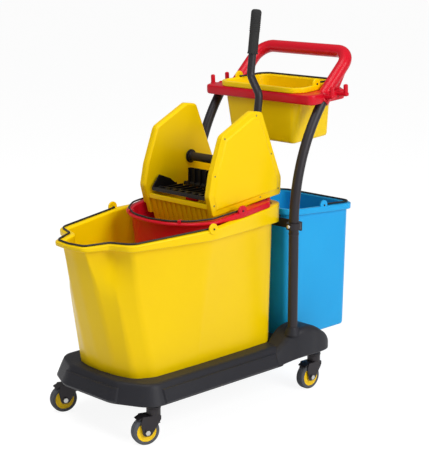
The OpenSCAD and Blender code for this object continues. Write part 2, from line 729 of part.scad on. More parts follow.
module lobe() {
    loft([for (s = lobe_sections)
        let (top_r = min(16, (s[4] - s[3]) * 0.4))
        [for (p = rounded([[s[1], s[3], 3], [s[2] + s[5], s[3], 4], [s[2], s[4], top_r],
        [s[1], s[4], top_r * 0.7]])) [s[0], p[0], p[1]]]]);
}

module base_deck() {
    post = [-post_back, post_side];
    color(dark) place() difference() {
        union() {
            loft([level(rounded(inset(deck_c, deck_wall)), well_z - deck_wall),
                  level(rounded(inset(foot_c, deck_wall)), deck_z),
                  level(rounded(foot_c), deck_z),
                  level(rounded(deck_c), panel_top),
                  level(rounded(inset(deck_c, 10)), rim_z)]);
            // Proud panels along the sides and across the front
            intersection() {
                difference() {
                    loft([level(rounded(inset(foot_c, -panel_proud)), deck_z),
                          level(rounded(inset(deck_c, -panel_proud)), panel_top - 2)]);
                    loft([level(rounded(inset(foot_c, 1)), deck_z - 1),
                        level(rounded(inset(deck_c, 1)), panel_top)]);
                }
                union() {
                    translate([deck_front - 60, -138, deck_z]) cube([100, 276, deck_h]);
                    translate([-post_back + 60, -deck_half_w - 30, deck_z])
                        cube([435, 2 * deck_half_w + 60, deck_h]);
                }
            }
            for (s = [-1, 1]) sided(s) {
                lobe();
                translate([post[0], post[1], lobe_top - 17])
                    cylinder(r1 = post_r + 8, r2 = post_r + 2, h = 20);
            }
            for (c = casters) translate([c[1], c[2], boss_z]) cylinder(r = boss_r, h = well_z - boss_z - 1);
            // Shelf between the lobes, under the front of the rear bucket
            translate([-deck_rear - 60, -lobe_inner - 4, deck_z + 4])
                cube([70, 2 * lobe_inner + 8, rear_z - seat - deck_z - 4]);
        }
        translate([0, 0, well_z]) linear_extrude(deck_h + 60)
            polygon(rounded(inset(main_base_c, -well_gap)));
        for (c = casters) translate([c[1], c[2], boss_z - 1])
            cylinder(r = sleeve_r + fit, h = stem_len + 3);
        for (s = [-1, 1]) translate([post[0], s * post[1], post_foot_z])
            cylinder(r = post_r + fit, h = 200);
    }
}

// Posts and what hangs on them

module post(s) {
    color(black) place() translate([-post_back, s * post_side, 0]) {
        translate([0, 0, post_foot_z]) difference() {
            cylinder(r = post_r, h = post_knee_z - post_foot_z);
            translate([0, 0, -1]) cylinder(r = post_r - post_wall, h = post_knee_z);
        }
        translate([-post_bend_r, 0, post_knee_z]) rotate([90, 0, 0]) rotate_extrude(angle = post_bend)
            translate([post_bend_r, 0]) difference() {
                circle(r = post_r);
                circle(r = post_r - post_wall);
            }
    }
}

module clamp(s) {
    color(black) place() translate([-post_back, s * post_side, clamp_z]) difference() {
        union() {
            cylinder(r = clamp_r, h = clamp_h);
            translate([-clamp_r - 2, -7, 0]) cube([clamp_r, 14, clamp_h]);
            translate([0, -9, 0]) cube([clamp_r + 2, 18, clamp_h]);
        }
        translate([0, 0, -1]) cylinder(r = post_r + fit, h = clamp_h + 2);
        translate([0, 0, clamp_h / 2]) rotate([0, 90, 0]) cylinder(r = 2.5 + fit, h = clamp_r + 5);
    }
}

module clamp_screws() {
    color(steel) place() for (s = [-1, 1]) translate([-post_back, s * post_side, clamp_z + clamp_h / 2])
        rotate([0, 90, 0]) {
        translate([0, 0, post_r + 0.5]) cylinder(r = 2.5, h = clamp_t + 2);
        translate([0, 0, clamp_r + 2]) cylinder(r = 5.5, h = 4);
    }
}

module cross_bracket() {
    color(black) place() {
        translate([bracket_x - bracket_t, -post_side - 7, bracket_z])
            cube([bracket_t, 2 * post_side + 14, clamp_h + 8]);
        translate([bracket_x - bracket_t, -rear_half_w + 30, bracket_z])
            cube([bracket_t, 2 * rear_half_w - 60, ledge_top - bracket_z]);
        translate([bracket_x - rear_gap - rear_lip + 3, -rear_half_w + 46, ledge_top - ledge_t])
            cube([rear_gap + rear_lip - 3, 2 * rear_half_w - 92, ledge_t]);
    }
}

// Tray with its post sockets, hook pegs and push handle, one moulding

tray_c = both([[tray_x1, tray_half_w, 20], [arm_x - 62, tray_half_w - 8, 20],
    [bin_x0 - 12, bin_half_w - bin_narrow - 12, 30]]);
tray_hole_c = tub_c(bin_x0 + bin_lip - 3, bin_x1 - bin_lip + 3, bin_half_w - bin_narrow - bin_lip + 3,
    bin_half_w - bin_lip + 3, 34);

module socket_axis() { translate([post_top[0], 0, post_top[1]]) rotate([0, -post_bend, 0]) children(); }

module handle_loop() {
    rise = [bar_x - arm_x, bar_z - arm_z];
    len_arm = norm(rise);
    path = bent([[0, handle_side, 1], [len_arm, handle_side, handle_bend_r], [len_arm, 0, 1]], 8);
    full = concat(path, [for (i = [len(path) - 1:-1:0]) if (path[i][1] > 0.01) [path[i][0], -path[i][1]]]);
    dir = rise / len_arm;
    bar_along([for (p = full) [arm_x + dir[0] * p[0], p[1], arm_z + dir[1] * p[0]]], handle_r,
        [-dir[1], 0, dir[0]], 16);
}

// A web under each arm, from the tray up to the bar
module arm_web() {
    y_slab(handle_side - 11, handle_side + 11)
        polygon([[arm_x - 10, arm_z], [arm_x - 82, arm_z + 18], [bar_x + 4, bar_z - 28],
            [bar_x + 30, bar_z - 22]]);
}

module hook_pegs() {
    y = tray_half_w + 21;
    for (x = [post_top[0] + 8, post_top[0] - 52]) {
        translate([x - 7, tray_half_w - 12, tray_z1 - 14]) cube([14, 40, 11]);
        translate([x, y, tray_z1 - 8]) cylinder(r = peg_d / 2, h = peg_h + 8);
    }
}

module handle_tray() {
    socket_r = post_r + 5;
    socket_foot = 14;
    socket_crown = 10;
    // The post goes on bending inside its socket
    socket_sag = pow(socket_foot + 1, 2) / (2 * post_bend_r);
    color(red) place() difference() {
        union() {
            tilted() translate([0, 0, tray_z0]) linear_extrude(tray_h) difference() {
                polygon(rounded(tray_c));
                polygon(rounded(tray_hole_c));
            }
            for (s = [-1, 1]) sided(s) {
                translate([0, post_side, 0]) socket_axis() translate([0, 0, -socket_foot])
                    cylinder(r = socket_r, h = socket_foot + socket_crown);
                tilted() hook_pegs();
                arm_web();
            }
            handle_loop();
        }
        for (s = [-1, 1]) translate([0, s * post_side, 0]) socket_axis() {
            translate([0, 0, -socket_foot - 1])
                cylinder(r = post_r + fit + socket_sag, h = socket_foot + 1.2);
            translate([0, 0, -60]) cylinder(r = post_r + 2, h = 61 - socket_foot);
        }
    }
}

// Wringer housings

function cheek_floor(x) = main_top(x) + inner_top(x) + 1;
cheek_low = main_rim - 13;
function cheek_outline(step) = [
    [32, cheek_low, 4], [57, main_rim + 70, 30], [45, main_rim + 128, 60], [7, main_rim + 230, 22],
    [-107, main_rim + 287, 20], [-146, main_rim + 282, 14], [-226, main_rim + 91, 20],
    [-224, cheek_floor(-224) + 6, 8],
    [step, cheek_floor(step), 4], [step, cheek_low, 4]];
cheek_c = cheek_outline(-104);
cover_c = [for (i = [0:7]) i == 0 ? [42, cheek_floor(42), 6] : cheek_c[i]];
screw_c = inset(cheek_c, 11);
screw_at = [mix(screw_c[0], screw_c[1], 0.65), screw_c[2], screw_c[3], mix(screw_c[4], screw_c[5], 0.5),
            mix(screw_c[5], screw_c[6], 0.6), mix(screw_c[6], screw_c[7], 0.8),
                mix(screw_c[7], screw_c[8], 0.6)];
hinges = [[front_hinge, hinge_z], [rear_hinge, hinge_z]];
shaft = [shaft_x, shaft_z];

module cheek(s) {
    color(yellow) place() sided(s) difference() {
        union() {
            difference() {
                y_slab(cheek_inner, cover_y) polygon(rounded(cheek_c));
                y_slab(cheek_inner + wringer_wall, cover_y + 1)
                    polygon(rounded(inset(cheek_c, wringer_wall)));
            }
            for (p = screw_at) y_rod(p, 5, cheek_inner + 1, cover_y);
        }
        y_rod(shaft, bush_r + fit, cheek_inner - 1, cover_y);
        for (h = hinges) y_rod(h, pin_r + run, cheek_inner - 1, cheek_inner + wringer_wall + 1);
        for (p = screw_at) y_rod(p, 1.6, cover_y - 14, cover_y + 1);
    }
}

module cover(s) {
    color(yellow) place() sided(s) difference() {
        union() {
            y_slab(cover_y, cover_y + 0.6 * cover_t) polygon(rounded(cover_c));
            y_slab(cover_y + 0.6 * cover_t - 1, cover_y + cover_t) polygon(rounded(inset(cover_c, 4)));
        }
        for (p = screw_at) {
            y_rod(p, 1.6, cover_y - 1, cover_y + cover_t);
            y_rod(p, 3.5, cover_y + cover_t - 2, cover_y + cover_t + 1);
        }
    }
}

module cover_screws() {
    color(steel) place() for (s = [-1, 1]) sided(s) for (p = screw_at) {
        y_rod(p, 1.5, cover_y - 12, cover_y + cover_t - 1);
        y_rod(p, 3.2, cover_y + cover_t - 2, cover_y + cover_t - 0.2);
    }
}

basket_half = cheek_inner - 0.4;
basket_top = hinge_z - pin_r - 6;
basket_z = main_rim - 85;
basket_rear = -main_rear + 18;
basket_front = front_hinge + 30;
shelf_z = main_rim + 47;

module wringer_basket() {
    w = wringer_wall;
    back = basket_rear + 54;
    pitch = 2 * (basket_half - 8) / slats;
    leg_z = inner_z + inner_wall + seat;
    color(yellow) place() difference() {
        union() {
            // Front ledge and wall, floor, rear wall and the shelf over the inner bucket's rear rim
            y_slab(-basket_half, basket_half) polygon([
                [basket_front, basket_top], [basket_front, basket_top - 12],
                [basket_front - 6, basket_top - 14],
                [basket_front - 40, basket_z], [back + 10, basket_z], [back, shelf_z],
                [basket_rear, shelf_z],
                [basket_rear, shaft_z - 12], [basket_rear + w, shaft_z - 12],
                [basket_rear + w, shelf_z + w], [back + w, shelf_z + w],
                [back + w + 10, basket_z + w], [basket_front - 40 - w, basket_z + w],
                [basket_front - 6 - 2 * w, basket_top - 12],
                [basket_front - 6 - 2 * w, basket_top]]);
            for (s = [-1, 1]) sided(s) y_slab(basket_half - w, basket_half)
                polygon([[basket_front - 40, basket_z], [basket_front - 14, basket_top - 50],
                    [back + 1, basket_top - 50], [back + 10, basket_z]]);
            // Ribs up the front wall
            for (i = [0:slats - 1]) let (y = -basket_half + 8 + pitch * (i + 0.5))
                y_slab(y - pitch / 4, y + pitch / 4) polygon([
                    [basket_front - 3, basket_top - 15], [basket_front - 8, basket_top - 15],
                    [basket_front - 41, basket_z + 1],
                    [basket_front - 37, basket_z]]);
            // Legs down to the inner bucket's floor
            for (x = [back + 22, basket_front - 56], y = [-1, 1])
                translate([x, y * (basket_half - 26), leg_z])
                cylinder(r = 7, h = basket_z - leg_z + 1);
        }
        for (i = [0:2], j = [-3:3]) translate([back + 36 + 40 * i, 24 * j, basket_z - 1])
            cylinder(r = 6, h = w + 2);
    }
}

module bush(s) {
    color(black) place() sided(s) difference() {
        union() {
            y_rod(shaft, bush_r, cheek_inner - 1, cheek_inner + wringer_wall);
            y_rod(shaft, bush_r + 4, cheek_inner - 5, cheek_inner - 0.05);
        }
        y_rod(shaft, shaft_d / 2 + run, cheek_inner - 8, cheek_inner + wringer_wall + 1);
    }
}

// Lever: the shaft, a hub on it, a bent tube and its grip

module lever_shaft() {
    color(black) place() {
        y_rod(shaft, shaft_d / 2, -cover_y + 1, cover_y - 1);
        y_rod(shaft, shaft_d / 2 + 3, -cheek_inner + 5.5, -cheek_inner + 10);
    }
}

module lever_hub() {
    color(black) place() difference() {
        union() {
            y_rod(shaft, shaft_d / 2 + 7, lever_low_y - lever_d / 2 - 3, cheek_inner - 5.5);
            translate([shaft_x, lever_low_y, shaft_z]) rotate([0, -lever_back, 0])
                cylinder(r = lever_d / 2 + 2.5, h = 62);
        }
        y_rod(shaft, shaft_d / 2 + fit, lever_low_y - 40, cheek_inner);
        translate([shaft_x, lever_low_y, shaft_z]) rotate([0, -lever_back, 0])
            translate([0, 0, shaft_d / 2 + 9]) cylinder(r = lever_d / 2 + fit, h = 80);
    }
}

knee = [shaft_x - lever_knee * tan(lever_back), shaft_z + lever_knee];
function lever_x(z) = knee[0] - (z - knee[1]) * tan(lever_lean);
lever_top_z = shaft_z + lever_h;

module lever_tube() {
    start = shaft_d / 2 + 9.3;
    s0 = [shaft_x - start * sin(lever_back), shaft_z + start * cos(lever_back)];
    s1 = [shaft_x - 75 * sin(lever_back), shaft_z + 75 * cos(lever_back)];
    lower = [for (p = bent([[s1[0], s1[1], 1], [knee[0], knee[1], 120],
        [lever_x(knee[1] + 34), knee[1] + 34, 1]]))
             [p[0], lever_low_y, p[1]]];
    upper = [for (p = bent([[lever_low_y, knee[1] + 34, 1], [lever_low_y, knee[1] + lever_crank, 34],
        [lever_top_y, knee[1] + lever_crank + 50, 34],
        [lever_top_y, lever_top_z - 8, 1]]))
             if (p[1] > knee[1] + 35) [lever_x(p[1]), p[0], p[1]]];
    color(black) place() {
        translate([s0[0], lever_low_y, s0[1]]) rotate([0, -lever_back, 0])
            cylinder(r = lever_d / 2, h = 75.5 - start);
        bar_along(concat(lower, upper), lever_d / 2, [1, 0, 0.1], 16);
    }
}

module lever_grip() {
    color(black) place() translate([lever_x(lever_top_z), lever_top_y, lever_top_z])
        rotate([0, -lever_lean, 0]) difference() {
        union() {
            translate([0, 0, -grip_len]) cylinder(r = grip_d / 2 - 1, h = grip_len);
            for (i = [0:15]) translate([0, 0, -grip_len + i * grip_len / 16])
                cylinder(r = grip_d / 2, h = grip_len / 32);
        }
        translate([0, 0, -grip_len - 1]) cylinder(r = lever_d / 2 + 0.3, h = grip_len - 5);
    }
}

// Gears: a sector of a full circle of teeth about a point, from angle a0 to a1, with a tooth at phase

module sector(teeth, a0, a1, phase, hub_r, bore_r) {
    r = gear_m * teeth / 2;
    root = r - gear_m;
    tip = r + 0.8 * gear_m;
    pitch = 360 / teeth;
    function at(rad, a) = rad * [cos(a), sin(a)];
    difference() {
        union() {
            circle(r = hub_r);
            intersection() {
                circle(r = root);
                polygon([[0, 0], at(2 * r, a0), at(2 * r, (a0 + a1) / 2), at(2 * r, a1)]);
            }
            for (i = [ceil((a0 - phase) / pitch):floor((a1 - phase) / pitch)]) let (a = phase + i * pitch)
                polygon([at(root - 2, a - 0.32 * pitch), at(tip, a - 0.11 * pitch),
                         at(tip, a + 0.11 * pitch), at(root - 2, a + 0.32 * pitch)]);
        }
        circle(r = bore_r);
    }
}

lever_swing = 44;
mesh_a = atan2(hinge_z - shaft_z, front_hinge - shaft_x);
front_phase = mesh_a + 180 + 180 / front_teeth;
rear_phase = (180 - front_phase) * front_teeth / rear_teeth + 180 / rear_teeth;
front_swing = lever_swing * drive_teeth / front_teeth;
rear_swing = lever_swing * drive_teeth / rear_teeth;

module gear_at(p, y0, y1) { place() translate([p[0], y1, p[1]]) rotate([90, 0, 0]) linear_extrude(y1 - y0)
    children(); }

module drive_sector() {
    color(steel) gear_at(shaft, layer_out, layer_out + layer_t)
        sector(drive_teeth, mesh_a - 5, mesh_a + lever_swing + 8, mesh_a, shaft_d / 2 + 6,
            shaft_d / 2 + fit);
}

module front_sector() {
    color(black) gear_at(hinges[0], layer_in, layer_out + layer_t)
        sector(front_teeth, mesh_a + 180 - front_swing - 5, 180 + 5, front_phase, pin_r + 6, pin_r + fit);
}

module rear_sector() {
    color(black) gear_at(hinges[1], layer_in, layer_in + layer_t)
        sector(rear_teeth, -9, rear_swing + 9, rear_phase, pin_r + 6, pin_r + fit);
}

// Press plates, each hinged on its own pins at the basket's mouth

module press_plate(x0, x1, half, ribs) {
    translate([x0, -half, -plate_t / 2]) cube([x1 - x0, 2 * half, plate_t]);
    for (i = [0:ribs - 1]) translate([x0, mix(-half, half - 4, i / (ribs - 1)), 0])
        cube([x1 - x0, 4, plate_t / 2 + 7]);
}

module plate_pins(pin_end) {
    y_rod([0, 0], pin_r, -cheek_inner - wringer_wall, pin_end);
    y_rod([0, 0], pin_r + 2, -plate_half, plate_half);
}

module front_plate() {
    nose = front_plate_nose;
    tail = front_plate_len;
    color(black) place() translate([front_hinge, 0, hinge_z]) {
        plate_pins(layer_out + layer_t);
        press_plate(-tail, nose, plate_half, 9);
        translate([nose - 4, -plate_half, -plate_t / 2]) cube([4, 2 * plate_half, plate_t + 6]);
        // End fins, highest ahead of the hinge
        for (s = [-1, 1]) sided(s) y_slab(plate_half - 4, plate_half)
            polygon([[-tail, 0], [nose, 0], [nose, 8], [nose - 26, 40], [24 - tail, 24], [-tail, 4]]);
    }
}

module rear_plate() {
    color(black) place() translate([rear_hinge, 0, hinge_z]) {
        plate_pins(layer_in + layer_t);
        rotate([0, -90, 0]) mirror([0, 0, 1]) press_plate(0, rear_plate_len, plate_half - 12, 9);
    }
}

module return_spring() {
    coil_r = shaft_d / 2 + 6;
    turns = 3;
    turn_steps = 8;
    spring_r = 1.1;
    pitch = 2.5 * spring_r;
    y0 = cheek_inner + wringer_wall + spring_r + fit;
    color(steel) place() mirror([0, 1, 0]) translate([shaft_x, 0, shaft_z])
        loft([for (i = [0:turn_steps * turns])
              let (a = 360 * i / turn_steps,
                  c = [coil_r * cos(a), y0 + pitch * i / turn_steps, coil_r * sin(a)])
              [for (k = [0:5]) c + spring_r * [cos(a) * cos(60 * k), sin(60 * k), sin(a) * cos(60 * k)]]]);
}

base_deck();
post(1);  // left_post
post(-1);  // right_post
clamp(1);  // left_clamp
clamp(-1);  // right_clamp
clamp_screws();
cross_bracket();
handle_tray();
for (c = casters) {
    at_caster(c) caster_socket();
    at_caster(c) caster_fork();
    at_caster(c) caster_axle();
    at_caster(c) caster_hub();
    at_caster(c) caster_tyre();
}
main_bucket();
main_bail();
inner_bucket();
inner_bail();
rear_bucket();
rear_bail();
top_bin();
bin_bail();
wringer_basket();
cheek(1);  // left_cheek
cheek(-1);  // right_cheek
cover(1);  // left_cover
cover(-1);  // right_cover
cover_screws();
bush(1);  // left_bush
bush(-1);  // right_bush
lever_shaft();
lever_hub();
lever_tube();
lever_grip();
drive_sector();
front_plate();
front_sector();
rear_plate();
rear_sector();
return_spring();
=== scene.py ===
"""Looks of the mop bucket trolley: shells, wires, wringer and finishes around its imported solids."""

import json
import logging
import math
from dataclasses import dataclass, field
from enum import Enum
from typing import Callable, Iterable, Optional, Sequence, Union

import bmesh
import bpy
from mathutils import Matrix, Vector


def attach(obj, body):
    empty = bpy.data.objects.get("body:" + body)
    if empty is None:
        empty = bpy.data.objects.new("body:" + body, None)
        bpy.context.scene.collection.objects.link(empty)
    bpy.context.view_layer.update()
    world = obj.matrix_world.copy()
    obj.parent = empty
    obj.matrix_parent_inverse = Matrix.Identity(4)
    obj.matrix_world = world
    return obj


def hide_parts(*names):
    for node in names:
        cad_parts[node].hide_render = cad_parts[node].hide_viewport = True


LOG = logging.getLogger("trolley")
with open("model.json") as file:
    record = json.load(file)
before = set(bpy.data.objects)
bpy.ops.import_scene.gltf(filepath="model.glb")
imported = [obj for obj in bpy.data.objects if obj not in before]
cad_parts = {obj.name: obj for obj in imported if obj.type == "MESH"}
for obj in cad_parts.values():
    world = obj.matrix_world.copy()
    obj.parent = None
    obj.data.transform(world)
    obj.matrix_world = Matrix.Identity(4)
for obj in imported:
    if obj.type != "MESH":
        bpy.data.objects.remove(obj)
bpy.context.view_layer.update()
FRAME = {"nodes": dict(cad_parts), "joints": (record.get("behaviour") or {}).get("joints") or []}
JOINTS = {row["name"]: row for row in FRAME["joints"]}
CORNERS = ("front_left", "front_right", "rear_left", "rear_right")
SIDES = ((1, "left"), (-1, "right"))

MM = 0.001

# Places and sizes that several pieces share, in millimetres and degrees

MAIN_EAR_X = 104.0
POST_X = -215.0
POST_Y = 200.0
POST_R = 14.0
POST_BEND = 38.9
SHAFT = (-119.5, 680.635)
SHAFT_R = 12.5
WIRE_GAP = 2.9
FIT = 0.05

# The middle between the wheels, in metres along the frame's X

MIDDLE_X = JOINTS["main_bail_swing"]["pos_m"][0] - MAIN_EAR_X * MM

# How finely shapes are divided, and what counts as straight, as one point, as flat and as sharp

SPACING = 16.0
ARC_STEPS = 8
LEAST_RADIUS = 2.0
STRAIGHT = 1e-4
TINY = 1e-6
WELD = 1e-5
FLAT_ANGLE = 1.5
SHARP_ANGLE = 30.0

AHEAD = Vector((1, 0, 0))
LEFT = Vector((0, 1, 0))
UP = Vector((0, 0, 1))

Plan = tuple[float, float]
Corner = tuple[float, float, float]
Profile = Sequence[Plan]
Height = Union[float, Callable[[float], float]]
Ring = list[Vector]
Loop = list[bmesh.types.BMEdge]


def at(x: float, y: float, z: float) -> Vector:
    """Gives a point of the frame from millimetres off the middle between the wheels, on the floor."""
    return Vector((x * MM + MIDDLE_X, y * MM, z * MM))


def pivot(joint: str) -> Vector:
    """Gives a joint's own point in the frame, in metres."""
    return Vector(JOINTS[joint]["pos_m"])


def mix(a: float, b: float, share: float) -> float:
    """Gives the value that lies a share of the way from a to b."""
    return a + (b - a) * share


# Shader maths and finishes


class Value:
    """A shader socket that takes part in Python expressions."""

    def __init__(self, graph: "Graph", socket: bpy.types.NodeSocket) -> None:
        """Wraps a socket of a graph's node tree."""
        self.graph = graph
        self.socket = socket

    def _math(self, operation: str, other: "Operand") -> "Value":
        """Adds one Math node to the graph and gives its result."""
        return self.graph.node("ShaderNodeMath", {0: self, 1: other}, {"operation": operation})

    def __add__(self, other: "Operand") -> "Value":
        """Adds."""
        return self._math("ADD", other)

    def __mul__(self, other: "Operand") -> "Value":
        """Multiplies."""
        return self._math("MULTIPLY", other)

    def greater(self, other: "Operand") -> "Value":
        """Gives the greater of two values."""
        return self._math("MAXIMUM", other)

    __radd__ = __add__
    __rmul__ = __mul__


Operand = Union[Value, float]
Dressed = Union[bpy.types.Material, bpy.types.World]
Colour = tuple[int, int, int]
Shade = tuple[float, float, float, float]


def linear(colour: Colour) -> Shade:
    """Turns a display colour into the linear colour that a shader takes.

    Args:
        colour: Red, green and blue from 0 to 255.

    Returns:
        The linear colour, opaque.
    """
    shares = [c / 255 for c in colour]
    red, green, blue = (s / 12.92 if s <= 0.04045 else ((s + 0.055) / 1.055) ** 2.4 for s in shares)
    return red, green, blue, 1.0


def grey(level: float) -> Shade:
    """Gives an opaque linear grey, white at 1."""
    return level, level, level, 1.0


class Rays(Enum):
    """Kinds of light ray, by the output of the Light Path node."""

    CAMERA = 0
    GLOSSY = 3


class Graph:
    """A material or world under construction: its nodes and the links between them."""

    def __init__(self, owner: Dressed) -> None:
        """Starts an empty node tree.

        Args:
            owner: A new material or world.
        """
        self.owner = owner
        self.owner.use_nodes = True
        self.tree = self.owner.node_tree
        self.tree.nodes.clear()

    def node(self, kind: str, inputs: Optional[dict] = None, settings: Optional[dict] = None,
             output: int = 0) -> Value:
        """Adds a node.

        Args:
            kind: The node's type name.
            inputs: Values or links of its sockets, by name or number.
            settings: Values of the node's own properties, set first.
            output: Which of its outputs to give.

        Returns:
            That output as a value.
        """
        made = self.tree.nodes.new(kind)
        for key, value in (settings or {}).items():
            setattr(made, key, value)
        for key, value in (inputs or {}).items():
            if isinstance(value, Value):
                self.tree.links.new(value.socket, made.inputs[key])
            else:
                made.inputs[key].default_value = value
        return Value(self, made.outputs[output])

    def noise(self, scale: float, detail: float, stretch: Corner = (1, 1, 1)) -> Value:
        """Gives a noise on Object coordinates.

        Args:
            scale: Cells to a metre.
            detail: Octaves of finer noise.
            stretch: How much denser the noise is along each axis.

        Returns:
            The noise, from 0 to 1.
        """
        place = self.node("ShaderNodeTexCoord", output=3)
        scaled = self.node("ShaderNodeMapping", {"Vector": place, "Scale": stretch})
        return self.node("ShaderNodeTexNoise", {"Vector": scaled, "Scale": scale, "Detail": detail})

    def blend(self, share: Operand, first: Shade, second: Shade) -> Value:
        """Gives a colour between two colours."""
        return self.node("ShaderNodeMix", {0: share, 6: first, 7: second}, {"data_type": "RGBA"}, output=2)

    def bump(self, height: Value, depth: float) -> Value:
        """Gives a normal from a height of 0 to 1 and the depth in metres that it stands for."""
        return self.node("ShaderNodeBump", {"Strength": 1.0, "Distance": depth, "Height": height})

    def rays(self, kind: Rays) -> Value:
        """Gives 1 on rays of a kind, else 0."""
        return self.node("ShaderNodeLightPath", output=kind.value)

    def close(self, shader: Value) -> Dressed:
        """Links a shader to the output.

        Args:
            shader: The finished shader.

        Returns:
            The material or world.
        """
        kind = "World" if isinstance(self.owner, bpy.types.World) else "Material"
        end = self.tree.nodes.new("ShaderNodeOutput" + kind)
        self.tree.links.new(shader.socket, end.inputs["Surface"])
        return self.owner


class Grain(Enum):
    """Surface textures: noise cells to a metre, and how far the cells are drawn out along each axis."""

    POLISHED = (60.0, (1, 1, 1))
    PEBBLED = (620.0, (1, 1, 1))
    SPRAYED = (380.0, (1, 1, 1))
    BRUSHED = (240.0, (1, 12, 1))
    RUBBERY = (800.0, (1, 1, 1))


@dataclass(frozen=True)
class Finish:
    """One finish of the trolley, with the name of the record's slot that it is meant for, which is not used.
    """

    name: str
    slot: str
    colour: Colour
    shade: Colour
    grain: Grain
    roughness: float
    depth: float
    shine: float = 0.3
    coat: float = 0.0
    metallic: float = 0.0
    spread: float = 0.08
    coat_roughness: float = 0.12
    cloud_cells: float = 5.0
    cloud_detail: float = 2.0
    grain_detail: float = 4.0

    def material(self) -> bpy.types.Material:
        """Gives the finish's material, made at its first use.

        Returns:
            The material.
        """
        known = bpy.data.materials.get(self.name)
        if known is not None:
            return known
        graph = Graph(bpy.data.materials.new(self.name))
        cells, stretch = self.grain.value
        cloud = graph.noise(self.cloud_cells, self.cloud_detail)
        fine = graph.noise(cells, self.grain_detail, stretch)
        tone = graph.blend(cloud, linear(self.colour), linear(self.shade))
        rough = cloud * self.spread + (self.roughness - self.spread / 2)
        shader = graph.node("ShaderNodeBsdfPrincipled", {
            "Base Color": tone, "Roughness": rough, "Metallic": self.metallic,
            "Specular IOR Level": self.shine, "Coat Weight": self.coat,
            "Coat Roughness": self.coat_roughness, "Normal": graph.bump(fine, self.depth)})
        return graph.close(shader)


YELLOW = Finish("yellow_moulding", "yellow_gloss", (250, 211, 0), (245, 203, 0), Grain.POLISHED,
                roughness=0.3, depth=0.0004, shine=0.17)
RED = Finish("red_moulding", "red_gloss", (212, 14, 38), (200, 12, 34), Grain.POLISHED,
             roughness=0.3, depth=0.0004, shine=0.25)
BLUE = Finish("blue_moulding", "blue_gloss", (34, 174, 238), (24, 162, 230), Grain.POLISHED,
              roughness=0.36, depth=0.0004, shine=0.2)
DECK = Finish("deck_moulding", "deck_grey", (48, 48, 53), (40, 40, 45), Grain.PEBBLED,
              roughness=0.44, depth=0.0003, shine=0.17)
PAINT = Finish("black_paint", "black_paint", (12, 10, 9), (9, 8, 7), Grain.SPRAYED,
               roughness=0.2, depth=0.0001, shine=0.14)
WIRE = Finish("black_wire", "black_wire", (18, 17, 18), (13, 12, 13), Grain.SPRAYED,
              roughness=0.3, depth=0.0001, coat=0.1)
BLACK = Finish("black_moulding", "black_plastic", (20, 19, 20), (15, 14, 15), Grain.PEBBLED,
               roughness=0.42, depth=0.0002)
ZINC = Finish("zinc_plate", "zinc", (206, 205, 200), (176, 176, 174), Grain.BRUSHED,
              roughness=0.3, depth=0.00005, metallic=1.0)
SCREW = Finish("screw_steel", "zinc", (170, 152, 92), (146, 130, 80), Grain.BRUSHED,
               roughness=0.5, depth=0.00005, metallic=1.0)
GRIP = Finish("grip_rubber", "grip_rubber", (20, 19, 20), (15, 14, 15), Grain.RUBBERY,
              roughness=0.5, depth=0.0002)
TYRE = Finish("grey_tyre", "grey_tyre", (44, 43, 46), (36, 35, 38), Grain.RUBBERY,
              roughness=0.6, depth=0.0002)
HUB = Finish("hub_moulding", "wheel_hub", (255, 212, 16), (250, 202, 6), Grain.POLISHED,
             roughness=0.4, depth=0.0003)


# Outlines, paths and rings


def arc_points(corner: Vector, back: Vector, ahead: Vector, radius: float, count: int) -> Ring:
    """Rounds a corner.

    Args:
        corner: The sharp corner.
        back: Direction to the point before it.
        ahead: Direction to the point after it.
        radius: Radius of the arc.
        count: Steps of the arc.

    Returns:
        The arc's points, from the side of back to the side of ahead.
    """
    half = back.angle(ahead) / 2
    turn = math.pi - 2 * half
    if turn < STRAIGHT:
        return [corner.copy() for _ in range(count + 1)]
    middle = corner + (back + ahead).normalized() * (radius / math.sin(half))
    first = corner + back * (radius / math.tan(half)) - middle
    last = corner + ahead * (radius / math.tan(half)) - middle
    spokes = [(math.sin(turn * (1 - k / count)), math.sin(turn * (k / count))) for k in range(count + 1)]
    return [middle + (first * a + last * b) / math.sin(turn) for a, b in spokes]


def bent(corners: Sequence[tuple[Vector, float]], count: int = ARC_STEPS) -> Ring:
    """Makes a path with round bends.

    Args:
        corners: Points in metres with their bend radius in millimetres; the ends stay as they are.
        count: Steps of each bend.

    Returns:
        The path's points.
    """
    path = [corners[0][0].copy()]
    for before, (here, radius), after in zip(corners, corners[1:], corners[2:]):
        back = (before[0] - here).normalized()
        ahead = (after[0] - here).normalized()
        path.extend(arc_points(here, back, ahead, radius * MM, count))
    path.append(corners[-1][0].copy())
    return path


